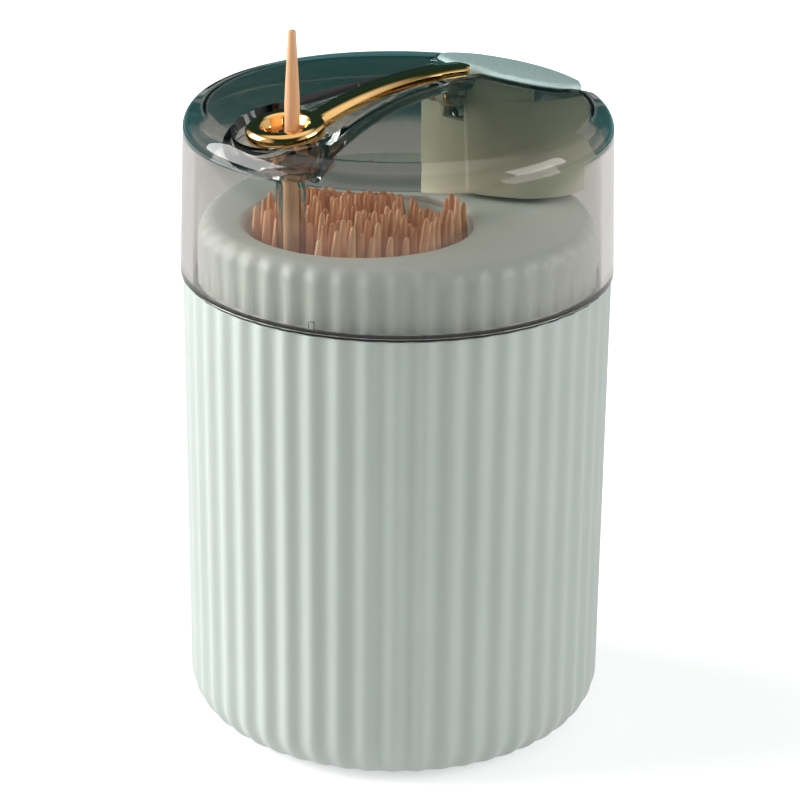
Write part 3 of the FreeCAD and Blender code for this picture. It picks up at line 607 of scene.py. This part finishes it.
@dataclass
class Tray:
    """Inner tray: fluted neck, rounded shoulder and flat deck with an off-centre hole."""

    palette: Palette
    radius: float = 32.2
    flute_depth: float = 0.5
    skirt_foot: float = 68.0
    skirt_wall: float = 1.8
    seam_height: float = 77.4
    deck_height: float = 87.3
    deck_thickness: float = 1.8
    shoulder: float = 3.0
    hole_radius: float = 18.0
    hole_offset: float = 8.34
    lip_round: float = 1.2
    bearing_deg: float = 44.0
    skirt_flute_depth: float = 0.05
    flute_start: float = 0.3
    shoulder_steps: int = 12
    lip_steps: int = 6
    hole_steps: int = 160
    skirt_steps: int = 192

    def build(self) -> None:
        """Build the tray."""
        rows = [(self.radius, self.skirt_flute_depth, self.skirt_foot),
                (self.radius, self.skirt_flute_depth, self.seam_height - self.flute_start),
                (self.radius, self.flute_depth, self.seam_height)]
        for step in range(self.shoulder_steps + 1):
            share = step / self.shoulder_steps
            a = share * math.pi / 2
            rows.append((self.radius - self.shoulder * (1 - math.cos(a)),
                         self.flute_depth * (1 - share * share),
                         self.deck_height - self.shoulder * (1 - math.sin(a))))
        wall = FlutedWall().build(rows)
        a = math.radians(self.bearing_deg)
        centre = Vector((-self.hole_offset * math.cos(a), -self.hole_offset * math.sin(a), 0.0))
        under = self.deck_height - self.deck_thickness
        lip = lathe(round_points((self.hole_radius + self.lip_round,
                                  self.deck_height - self.lip_round), self.lip_round, 90, 180,
                                 self.lip_steps)
                    + [(self.hole_radius, under)], self.hole_steps)
        bmesh.ops.translate(lip, vec=centre, verts=lip.verts)
        skirt = lathe([(self.radius - self.skirt_wall, under),
                       (self.radius - self.skirt_wall, self.skirt_foot)], self.skirt_steps)
        for part in (lip, skirt):
            join(wall, part)
        for height in (self.deck_height, under, self.skirt_foot):
            bmesh.ops.triangle_fill(wall, edges=rim_edges(wall, height), use_beauty=True)
        new_piece(wall, "inner_tray_fluted", self.palette.tray, Body.CUP,
                  ("inner_tray",))


@dataclass(frozen=True)
class Stick:
    """Place of one toothpick in the well.

    The foot and tip are where it would stand unlifted, and the index picks its own draws.
    """

    foot: Vector
    tip: Vector
    lift: float
    turned: bool
    index: int


@dataclass
class Toothpicks:
    """Store of toothpicks in the well, some with turned ends, and the served one."""

    palette: Palette
    bearing_deg: float = 44.0
    hole_radius: float = 18.0
    hole_offset: float = 8.34
    well_floor: float = 23.6
    foot_gap: float = 0.1
    hair_gap: float = 0.1
    length: float = 65.0
    radius: float = 1.1
    turned_spare: float = 3.5
    tip_radius: float = 0.4
    taper: float = 12.0
    pitch: float = 2.75
    twist_deg: float = 17.0
    jitter: float = 0.2
    height_spread: float = 3.0
    turned_lift_share: float = 0.5
    outlet_reach: float = 22.8
    outlet_radius: float = 2.3
    served_clearance: float = 0.45
    spare_bearing_deg: float = 35.0
    spare_offset: float = 12.6
    spare_radius: float = 4.9
    bead_depth_share: float = 0.4
    bead_spread_share: float = 0.722
    served_top: float = 120.7
    served_radius: float = 1.2
    served_tip: float = 0.62
    served_tone: float = 0.75
    # Radius and length of the taper below the top, each as a share.
    served_shares: tuple[tuple[float, float], ...] = ((0.95, 0.85), (0.72, 0.4))
    foot_swell: tuple[float, float] = (0.86, 0.6)
    top_swell: tuple[float, float] = (0.84, 0.55)
    # Worn ends: share of the tip's radius that stays flat, and how far the wear reaches.
    tip_flat_share: float = 0.6
    foot_flat: float = 0.05
    foot_wear: float = 0.4
    top_flat: float = 0.08
    top_wear: float = 0.5
    served_flat_share: float = 0.8
    served_flat: float = 0.06
    served_wear: float = 0.3
    foot_edge: float = 0.1
    turned_crown: float = 0.02
    stick_sharp_deg: float = 60.0
    turned_length: float = 16.0
    sides: int = 12
    # Beads and grooves: how far below the tip, and the radius, each as a share.
    turned_shares: tuple[tuple[float, float], ...] = (
        (0.95, 1.0), (0.90, 0.75), (0.86, 0.45), (0.82, 0.75), (0.73, 1.1), (0.66, 0.78),
        (0.62, 0.42), (0.58, 0.78), (0.50, 1.1), (0.44, 0.72), (0.40, 0.40), (0.36, 0.68),
        (0.28, 0.85), (0.18, 0.55), (0.12, 0.42), (0.04, 0.32), (0.0, 0.12))

    @staticmethod
    def noise(index: int, draw: Draw) -> float:
        """Repeatable value between -1 and 1.

        Args:
            index: Number of the toothpick.
            draw: Which of its draws.

        Returns:
            The value.
        """
        per_index, per_draw, spread = NOISE_STEPS
        value = math.sin(index * per_index + draw.value * per_draw) * spread
        return 2 * (value - math.floor(value)) - 1

    def well_centre(self) -> Vector:
        """Place of the well's axis."""
        a = math.radians(self.bearing_deg)
        return Vector((-self.hole_offset * math.cos(a), -self.hole_offset * math.sin(a), 0.0))

    def outlet(self) -> Vector:
        """Place of the served toothpick."""
        a = math.radians(self.bearing_deg)
        return Vector((-self.outlet_reach * math.cos(a), -self.outlet_reach * math.sin(a), 0.0))

    def places(self) -> list[Stick]:
        """Lay the bundle out on its twisted pitch.

        Returns:
            Each toothpick's place, in the order of its draws.
        """
        centre = self.well_centre()
        room = self.hole_radius - self.radius - self.jitter - self.hair_gap
        row_step = self.pitch * math.sqrt(3) / 2
        rows = int(room / row_step) + 1
        columns = int(room / self.pitch) + 1
        served = self.outlet() - centre
        a = math.radians(self.spare_bearing_deg)
        spare = Vector((self.spare_offset * math.cos(a), self.spare_offset * math.sin(a), 0.0))
        twist = math.radians(self.twist_deg) / 2
        foot_turn = Matrix.Rotation(-twist, 3, "Z")
        tip_turn = Matrix.Rotation(twist, 3, "Z")
        found = []
        index = 0
        for row in range(-rows, rows + 1):
            for column in range(-columns, columns + 1):
                index += 1
                x = self.pitch * (column + (0.5 if row % 2 else 0.0))
                y = row_step * row
                if math.hypot(x, y) > room:
                    continue
                shift = Vector((self.noise(index, Draw.SHIFT_X), self.noise(index, Draw.SHIFT_Y),
                                0.0)) * self.jitter
                grid = Vector((x, y, 0.0))
                foot = foot_turn @ grid - shift
                tip = tip_turn @ grid + shift
                middle = (foot + tip) / 2
                near = min((tip - served).length, (middle - served).length)
                if near < self.outlet_radius + self.radius + self.served_clearance:
                    continue
                if min((tip - spare).length, (middle - spare).length) < self.spare_radius:
                    continue
                lift = (self.noise(index, Draw.LIFT) + 1) / 2 * self.height_spread
                back = (tip.y > self.bead_depth_share * self.hole_radius
                        and abs(tip.x) < self.bead_spread_share * self.hole_radius
                        and self.noise(index, Draw.KIND) > 0)
                lift = lift * self.turned_lift_share if back else lift
                base = Vector((0.0, 0.0, self.well_floor + self.foot_gap))
                found.append(Stick(centre + foot + base, centre + tip + base, lift, back, index))
        return found

    def plain(self, length: float) -> list[tuple[float, float]]:
        """Profile of a plain toothpick.

        Args:
            length: Its length.

        Returns:
            Its (radius, height) points.
        """
        low_radius, low_height = self.foot_swell
        top_radius, top_height = self.top_swell
        flat = self.tip_radius * self.tip_flat_share
        return [(0.0, 0.0), (flat, self.foot_flat), (self.tip_radius, self.foot_wear),
                (self.radius * low_radius, self.taper * low_height),
                (self.radius, self.taper), (self.radius, length - self.taper),
                (self.radius * top_radius, length - self.taper * top_height),
                (self.tip_radius, length - self.top_wear), (flat, length - self.top_flat),
                (0.0, length)]

    def turned(self, length: float) -> list[tuple[float, float]]:
        """Profile of a toothpick with beads and grooves below its tip.

        Args:
            length: Its length.

        Returns:
            Its (radius, height) points.
        """
        ends = [(self.radius * share, length - self.turned_length * below)
                for below, share in self.turned_shares]
        return ([(0.0, 0.0), (self.tip_radius, self.foot_edge), (self.radius, self.taper)]
                + ends + [(0.0, length + self.turned_crown)])

    def stick(self, mesh: bmesh.types.BMesh, profile: list[tuple[float, float]], foot: Vector,
              way: Vector, tone: float, sides: int) -> None:
        """Add one stick to a mesh.

        Args:
            mesh: Mesh that receives it, with a float layer named tone.
            profile: Its (radius, height) points.
            foot: Place of its foot.
            way: Its direction.
            tone: Its own shade, from 0 to 1.
            sides: Faces round it.
        """
        stick = lathe(profile, sides)
        turn = Vector((0, 0, 1)).rotation_difference(way).to_matrix().to_4x4()
        spin = Matrix.Rotation(tone * math.pi, 4, "Z")
        bmesh.ops.transform(stick, matrix=Matrix.Translation(foot) @ turn @ spin,
                            verts=stick.verts)
        layer = stick.verts.layers.float.new("tone")
        for vert in stick.verts:
            vert[layer] = tone
        join(mesh, stick)

    def group(self, turned: bool, name: str, node: str) -> None:
        """Build the plain toothpicks, or those with turned ends.

        Args:
            turned: Whether it is those with turned ends.
            name: Name of the piece.
            node: Node that it stands for.
        """
        mesh = bmesh.new()
        mesh.verts.layers.float.new("tone")
        length = self.length + (self.turned_spare if turned else 0.0)
        profile = self.turned(length) if turned else self.plain(length)
        for stick in self.places():
            if stick.turned != turned:
                continue
            way = Vector((stick.tip.x - stick.foot.x, stick.tip.y - stick.foot.y, length))
            tone = (self.noise(stick.index, Draw.TONE) + 1) / 2
            self.stick(mesh, profile, stick.foot + Vector((0.0, 0.0, stick.lift)), way, tone,
                       self.sides)
        new_piece(mesh, name, self.palette.birch, Body.CUP, (node,),
                  sharp_deg=self.stick_sharp_deg)

    def build(self) -> None:
        """Build every toothpick."""
        self.group(False, "toothpicks_in_well", "toothpicks")
        self.group(True, "turned_toothpicks_in_well", "turned_toothpicks")
        mesh = bmesh.new()
        mesh.verts.layers.float.new("tone")
        top = self.length
        profile = ([(0.0, 0.0), (self.served_tip, self.foot_edge),
                    (self.served_radius, self.taper), (self.served_radius, top - self.taper)]
                   + [(self.served_radius * share, top - self.taper * below)
                      for share, below in self.served_shares]
                   + [(self.served_tip, top - self.served_wear),
                      (self.served_tip * self.served_flat_share, top - self.served_flat),
                      (0.0, top)])
        foot = self.outlet() + Vector((0, 0, self.served_top - self.length))
        self.stick(mesh, profile, foot, Vector((0, 0, 1)), self.served_tone, 2 * self.sides)
        new_piece(mesh, "served_toothpick_turned", self.palette.birch, Body.SERVED,
                  ("served_toothpick",), sharp_deg=self.stick_sharp_deg)


@dataclass
class RoundSurface:
    """Ball or tube surface about an upright axis, whose true normals a mesh can take.

    A ring radius of zero makes it a ball. A side of -1 makes it face its own centre.
    """

    axis: Vector
    height: float
    ring: float
    radius: float
    side: int = 1

    def arm(self, point: Vector) -> Vector:
        """Way from the nearest centre to a point."""
        out = Vector((point.x - self.axis.x, point.y - self.axis.y, 0.0))
        middle = self.axis + out.normalized() * self.ring + Vector((0.0, 0.0, self.height))
        return point - middle

    def gap(self, point: Vector) -> float:
        """Distance of a point from the surface."""
        return abs(self.arm(point).length - self.radius)

    def normal(self, point: Vector) -> Vector:
        """Outward normal at a point of the surface."""
        return self.arm(point).normalized() * self.side


@dataclass
class ConeSurface:
    """Upright wall that widens evenly with height, whose true normals a mesh can take."""

    axis: Vector
    height: float
    radius: float
    widening: float
    side: int = 1

    def gap(self, point: Vector) -> float:
        """Distance of a point from the surface."""
        reach = math.hypot(point.x - self.axis.x, point.y - self.axis.y)
        slant = math.hypot(1.0, self.widening)
        return abs(reach - self.radius - self.widening * (point.z - self.height)) / slant

    def normal(self, point: Vector) -> Vector:
        """Outward normal at a point of the surface."""
        out = Vector((point.x - self.axis.x, point.y - self.axis.y, 0.0)).normalized()
        return (out - Vector((0.0, 0.0, self.widening))).normalized() * self.side


Surface = RoundSurface | ConeSurface


@dataclass
class Lid:
    """Clear domed lid with its tube, cheeks, housing, screws, pin and spring."""

    palette: Palette
    seam_height: float = 77.4
    apex_height: float = 108.2
    foot_radius: float = 35.0
    top_radius: float = 34.35
    wall: float = 2.0
    dome_radius: float = 140.0
    edge_round: float = 3.8
    inner_round: float = 3.4
    bearing_deg: float = 44.0
    ring_reach: float = 24.2
    crown_reach: float = 4.0
    crown_height: float = 109.1
    arch_radius: float = 83.0
    pocket_depth: float = 3.2
    pocket_wall: float = 1.6
    bowl_floor: float = 7.6
    bowl_rim: float = 10.3
    bowl_round: float = 2.2
    # As in the solids, the bowl's floor radius takes this share of an offset.
    bowl_offset_share: float = math.cos(math.pi / 8)
    housing_reach: float = 27.0
    housing_radius: float = 15.0
    housing_foot: float = 88.2
    spring_keep: float = 0.66
    cheek_swell: float = 0.95
    cheek_wall: float = 0.25
    cheek_start_deg: float = 87.0
    cheek_full_deg: float = 122.0
    cheek_end_deg: float = 150.0
    cheek_steps: int = 24
    cheek_gap: float = 0.15
    fit_mm: float = 0.003
    facing_share: float = 0.9
    cover_sharp_deg: float = 30.0

    def dome_surfaces(self, inset: float, rounding: float, side: int) -> list[Surface]:
        """Ball, rounded edge and side wall of the dome's outside or inside.

        Args:
            inset: How far inside the outer faces they lie.
            rounding: Radius of the edge.
            side: 1 for faces that look outwards, -1 inwards.

        Returns:
            The three surfaces.
        """
        here = Vector((0.0, 0.0, 0.0))
        centre = self.apex_height - self.dome_radius
        ball = self.dome_radius - inset
        ring = self.top_radius - inset - rounding
        level = centre + math.sqrt((ball - rounding) ** 2 - ring ** 2)
        taper = (self.top_radius - self.foot_radius) / (level - self.seam_height)
        return [RoundSurface(here, centre, 0.0, ball, side),
                RoundSurface(here, level, ring, rounding, side),
                ConeSurface(here, level, self.top_radius - inset, taper, side)]

    def bowl_surfaces(self, offset: float, side: int) -> list[Surface]:
        """Rounded floor and wall of the pocket's round end.

        Args:
            offset: How far outside the pocket's own faces they lie.
            side: 1 for faces that look away from the pocket, -1 into it.

        Returns:
            The two surfaces.
        """
        a = math.radians(self.bearing_deg)
        here = Vector((-math.cos(a), -math.sin(a), 0.0)) * self.ring_reach
        sag = math.sqrt(self.arch_radius ** 2 - (self.ring_reach + self.crown_reach) ** 2)
        floor = self.crown_height - self.arch_radius + sag - self.pocket_depth
        level = self.apex_height - self.ring_reach ** 2 / (2 * self.dome_radius)
        draft = (self.bowl_rim - self.bowl_floor) / (level - floor + offset)
        radius = self.bowl_floor + offset * self.bowl_offset_share
        rounding = self.bowl_round + offset
        return [RoundSurface(here, floor - offset + rounding, radius - rounding, rounding, side),
                ConeSurface(here, floor - offset + rounding, radius, draft, side)]

    def true_normals(self, piece: bpy.types.Object) -> None:
        """Give the cover the true normals of its turned surfaces, so that it shows no facets.

        Args:
            piece: The cover.
        """
        surfaces = (self.dome_surfaces(0.0, self.edge_round, 1)
                    + self.dome_surfaces(self.wall, self.inner_round, -1)
                    + self.bowl_surfaces(0.0, -1) + self.bowl_surfaces(self.pocket_wall, 1))
        data = piece.data
        places = [vert.co / MM for vert in data.vertices]
        on_surface = [[surface.gap(place) < self.fit_mm for place in places]
                      for surface in surfaces]
        normals = [Vector((0.0, 0.0, 0.0))] * len(data.loops)
        for face in data.polygons:
            for surface, fits in zip(surfaces, on_surface):
                if not all(fits[index] for index in face.vertices):
                    continue
                if surface.normal(face.center / MM).dot(face.normal) < self.facing_share:
                    continue
                for loop in face.loop_indices:
                    normals[loop] = surface.normal(places[data.loops[loop].vertex_index])
                break
        data.normals_split_custom_set(normals)

    def roof(self, reach: float) -> float:
        """Height of the dome's inside.

        Args:
            reach: Distance from the lid's axis.

        Returns:
            The height there.
        """
        ball, edge, _ = self.dome_surfaces(self.wall, self.inner_round, -1)
        beyond = max(0.0, reach - edge.ring)
        return min(ball.height + math.sqrt(ball.radius ** 2 - reach ** 2),
                   edge.height + math.sqrt(edge.radius ** 2 - beyond ** 2))

    def cheek(self, side: int) -> bmesh.types.BMesh:
        """Wall that bulges from the housing's side round the lid's button well.

        Args:
            side: 1 or -1, seen along the lever.

        Returns:
            The closed wall, from the housing's foot to the dome.
        """
        a = math.radians(self.bearing_deg)
        centre = Vector((math.cos(a), math.sin(a), 0.0)) * self.housing_reach
        mesh = bmesh.new()
        line = []
        for step in range(self.cheek_steps + 1):
            turn = (self.cheek_start_deg
                    + (self.cheek_end_deg - self.cheek_start_deg) * step / self.cheek_steps)
            rise = min(1.0, (self.cheek_end_deg - turn)
                       / (self.cheek_end_deg - self.cheek_full_deg))
            swell = self.cheek_swell * rise * rise * (3 - 2 * rise)
            b = a + side * math.radians(turn)
            way = Vector((math.cos(b), math.sin(b), 0.0))
            foot = centre + way * (self.housing_radius + swell)
            line.append(mesh.verts.new((foot.x, foot.y, self.housing_foot)))
        edges = [mesh.edges.new(pair) for pair in zip(line, line[1:])]
        made = bmesh.ops.extrude_edge_only(mesh, edges=edges)["geom"]
        for vert in made:
            if isinstance(vert, bmesh.types.BMVert):
                vert.co.z = self.roof(math.hypot(vert.co.x, vert.co.y)) - self.cheek_gap
        bmesh.ops.recalc_face_normals(mesh, faces=mesh.faces)
        if mesh.faces[0].normal.dot(mesh.faces[0].calc_center_median() - centre) < 0:
            bmesh.ops.reverse_faces(mesh, faces=mesh.faces)
        bmesh.ops.solidify(mesh, geom=mesh.faces[:], thickness=self.cheek_wall)
        return mesh

    def housing(self) -> None:
        """Build the button's housing with both cheeks."""
        mesh = node_copy("button_housing")
        for side in (-1, 1):
            join(mesh, self.cheek(side))
        new_piece(mesh, "button_housing_dressed", self.palette.pale, Body.LID,
                  ("button_housing",), outward=False)

    def build(self) -> None:
        """Build the lid's pieces."""
        cover = new_piece(node_copy("lid_cover"), "lid_cover_clear", self.palette.clear, Body.LID,
                          ("lid_cover",), sharp_deg=self.cover_sharp_deg,
                          outward=False)
        self.true_normals(cover)
        cover.visible_shadow = False
        cover.visible_diffuse = False
        for node, finish, slot in (("outlet_tube", self.palette.fitting, "clear_lid"),
                                   ("pivot_bracket", self.palette.fitting, "clear_lid"),
                                   ("pivot_pin", self.palette.steel, "steel"),
                                   ("housing_screws", self.palette.steel, "steel"),
                                   ("return_spring", self.palette.steel, "steel")):
            piece = new_piece(node_copy(node), node + "_dressed", finish, Body.LID, (node,),
                              outward=False)
            if finish == self.palette.fitting:
                piece.visible_shadow = False
                piece.visible_diffuse = False
            if node == "return_spring":
                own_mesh(piece)
        self.housing()


@dataclass
class Lever:
    """Plated arm and ring, moulded tail and the press button."""

    palette: Palette

    def build(self) -> None:
        """Build the lever's pieces."""
        for node, finish, slot in (("lever_arm", self.palette.gold, "gold_plating"),
                                   ("outlet_ring", self.palette.gold, "gold_plating"),
                                   ("lever_tail", self.palette.pale, "pale_plastic"),
                                   ("push_button", self.palette.button, "button_plastic")):
            new_piece(node_copy(node), node + "_dressed", finish, Body.LEVER, (node,),
                      outward=False)


@dataclass(frozen=True)
class SoftBox:
    """Soft box that faces the object."""

    name: str
    place_mm: tuple[float, float, float]
    size_mm: tuple[float, float]
    watts: float
    aim_mm: float = 60.0

    def hang(self) -> None:
        """Add the lamp."""
        data = bpy.data.lights.new(self.name, "AREA")
        data.shape = "RECTANGLE"
        data.size, data.size_y = self.size_mm[0] * MM, self.size_mm[1] * MM
        data.energy = self.watts
        lamp = bpy.data.objects.new(self.name, data)
        bpy.context.scene.collection.objects.link(lamp)
        lamp.location = Vector(self.place_mm) * MM
        aim = Vector((0.0, 0.0, self.aim_mm * MM)) - lamp.location
        lamp.rotation_mode = "QUATERNION"
        lamp.rotation_quaternion = aim.to_track_quat("-Z", "Y")


@dataclass
class Studio:
    """Camera, pale floor, white surroundings and soft boxes."""

    target_mm: float = 50.0
    elevation_deg: float = 21.63
    distance_mm: float = 551.6
    roll_deg: float = 0.528
    sensor_mm: float = 36.0
    lens: float = 150.6
    shift: tuple[float, float] = (0.0053, 0.0288)
    floor_half_mm: float = 3000.0
    paper: str = "#F4F4F4"
    paper_roughness: float = 0.9
    near_mm: float = 60.0
    far_mm: float = 450.0
    near_glow: float = 0.5
    backdrop_mm: float = 1000.0
    sheet: tuple[tuple[float, str], ...] = (
        (370.0, "#FFFEFC"), (384.0, "#5C9094"), (470.0, "#4A7D80"), (500.0, "#B9BDBB"),
        (600.0, "#B9BDBB"), (680.0, "#4A7D80"))
    sheet_glow: float = 0.92
    fill: str = "#999C9B"
    room_dark: str = "#213A37"
    room_flank: str = "#DAD6D2"
    room_top: str = "#FFFBFC"
    beyond_low: str = "#5C8F92"
    beyond_high: str = "#3E6E6D"
    # Where the pale sides start in X, and the ceiling and the backdrop's fade in Z, of a ray's
    # unit direction.
    flank_span: tuple[float, float] = (0.5, 0.72)
    top_span: tuple[float, float] = (0.74, 0.88)
    beyond_span: tuple[float, float] = (-0.1, 0.25)
    boxes: tuple[SoftBox, ...] = (
        SoftBox("left_box", (-1193.0, 125.0, 516.0), (1070.0, 912.0), 21.0),
        SoftBox("right_box", (1182.0, -208.0, 516.0), (780.0, 560.0), 6.2))

    def camera(self) -> None:
        """Set up the photograph's camera."""
        data = bpy.data.cameras.new("camera")
        data.sensor_width = self.sensor_mm
        data.lens = self.lens
        data.shift_x, data.shift_y = self.shift
        camera = bpy.data.objects.new("camera", data)
        bpy.context.scene.collection.objects.link(camera)
        e = math.radians(self.elevation_deg)
        away = Vector((0.0, -math.cos(e), math.sin(e))) * self.distance_mm
        camera.location = (Vector((0.0, 0.0, self.target_mm)) + away) * MM
        camera.rotation_mode = "QUATERNION"
        camera.rotation_quaternion = (Quaternion((1, 0, 0), math.pi / 2 - e)
                                      @ Quaternion((0, 0, 1), math.radians(self.roll_deg)))
        bpy.context.scene.camera = camera

    def floor(self) -> None:
        """Lay the pale floor.

        The camera sees lit paper near the object that runs out to plain white. Gloss and glass
        see the paper's far part as the backdrop sheet that stands behind the object.
        """
        mesh = bmesh.new()
        bmesh.ops.create_grid(mesh, x_segments=1, y_segments=1, size=self.floor_half_mm * MM)
        data = bpy.data.meshes.new("floor")
        mesh.to_mesh(data)
        mesh.free()
        floor = bpy.data.objects.new("floor", data)
        bpy.context.scene.collection.objects.link(floor)
        material = bpy.data.materials.new("white_paper")
        material.use_nodes = True
        tree = material.node_tree
        shader = tree.nodes["Principled BSDF"]
        shader.inputs["Base Color"].default_value = linear(self.paper)
        shader.inputs["Roughness"].default_value = self.paper_roughness
        path = add_node(tree, "ShaderNodeLightPath")
        place = add_node(tree, "ShaderNodeTexCoord").outputs["Object"]
        reach = add_node(tree, "ShaderNodeVectorMath", {0: place}, operation="LENGTH")
        far = add_node(tree, "ShaderNodeMapRange",
                       {"Value": reach.outputs["Value"], "From Min": self.near_mm * MM,
                        "From Max": self.far_mm * MM, "To Min": self.near_glow, "To Max": 1.0})
        lit = add_node(tree, "ShaderNodeMath", {0: path.outputs["Is Camera Ray"],
                                                1: far.outputs["Result"]}, operation="MULTIPLY")
        glow = add_node(tree, "ShaderNodeEmission", {"Color": linear("#FFFFFF"),
                                                     "Strength": lit.outputs["Value"]})
        paper = add_node(tree, "ShaderNodeAddShader", {0: shader.outputs["BSDF"],
                                                       1: glow.outputs["Emission"]})
        end = add_node(tree, "ShaderNodeMapRange",
                       {"Value": reach.outputs["Value"], "From Min": 0.0,
                        "From Max": self.backdrop_mm * MM})
        sheet = add_node(tree, "ShaderNodeValToRGB", {"Fac": end.outputs["Result"]})
        set_ramp(sheet, [(reach_mm / self.backdrop_mm, colour) for reach_mm, colour in self.sheet])
        shine = add_node(tree, "ShaderNodeEmission", {"Color": sheet.outputs["Color"],
                                                      "Strength": self.sheet_glow})
        bent = add_node(tree, "ShaderNodeMath", {0: path.outputs["Is Glossy Ray"],
                                                 1: path.outputs["Is Transmission Ray"]},
                        operation="MAXIMUM")
        both = add_node(tree, "ShaderNodeMixShader", {0: bent.outputs["Value"],
                                                      1: paper.outputs["Shader"],
                                                      2: shine.outputs["Emission"]})
        tree.links.new(both.outputs["Shader"], tree.nodes["Material Output"].inputs["Surface"])
        data.materials.append(material)

    def world(self) -> None:
        """Surround: white to the camera, a dark green room with pale sides to gloss and glass."""
        world = bpy.data.worlds.new("studio")
        bpy.context.scene.world = world
        world.use_nodes = True
        tree = world.node_tree
        path = add_node(tree, "ShaderNodeLightPath")
        way = add_node(tree, "ShaderNodeTexCoord").outputs["Generated"]
        split = add_node(tree, "ShaderNodeSeparateXYZ", {"Vector": way})
        aside = add_node(tree, "ShaderNodeMath", {0: split.outputs["X"]}, operation="ABSOLUTE")
        flank = add_node(tree, "ShaderNodeMapRange", {"Value": aside.outputs["Value"],
                                                      "From Min": self.flank_span[0],
                                                      "From Max": self.flank_span[1]})
        room = add_node(tree, "ShaderNodeValToRGB", {"Fac": flank.outputs["Result"]})
        set_ramp(room, [(0.0, self.room_dark), (1.0, self.room_flank)])
        above = add_node(tree, "ShaderNodeMapRange", {"Value": split.outputs["Z"],
                                                      "From Min": self.top_span[0],
                                                      "From Max": self.top_span[1]})
        room = add_node(tree, "ShaderNodeMixRGB",
                        {"Fac": above.outputs["Result"], "Color1": room.outputs["Color"],
                         "Color2": linear(self.room_top)})
        glass = add_node(tree, "ShaderNodeMapRange", {"Value": split.outputs["Z"],
                                                      "From Min": self.beyond_span[0],
                                                      "From Max": self.beyond_span[1]})
        beyond = add_node(tree, "ShaderNodeValToRGB", {"Fac": glass.outputs["Result"]})
        set_ramp(beyond, [(0.0, self.beyond_low), (1.0, self.beyond_high)])
        surround = add_node(tree, "ShaderNodeMixRGB",
                            {"Fac": path.outputs["Is Glossy Ray"], "Color1": linear(self.fill),
                             "Color2": room.outputs["Color"]})
        surround = add_node(tree, "ShaderNodeMixRGB",
                            {"Fac": path.outputs["Is Transmission Ray"],
                             "Color1": surround.outputs["Color"],
                             "Color2": beyond.outputs["Color"]})
        surround = add_node(tree, "ShaderNodeMixRGB",
                            {"Fac": path.outputs["Is Camera Ray"],
                             "Color1": surround.outputs["Color"], "Color2": linear("#FFFFFF")})
        tree.links.new(surround.outputs["Color"], tree.nodes["Background"].inputs["Color"])

    def build(self) -> None:
        """Set the whole studio up."""
        self.camera()
        self.floor()
        self.world()
        for box in self.boxes:
            box.hang()
        bpy.context.scene.view_settings.view_transform = "Standard"


def main() -> None:
    """Build the studio and every piece."""
    logging.basicConfig(level=logging.INFO, format="%(message)s")
    Studio().build()
    palette = Palette()
    Cup(palette).build()
    Tray(palette).build()
    Toothpicks(palette).build()
    Lid(palette).build()
    Lever(palette).build()


if __name__ == "__main__":
    main()
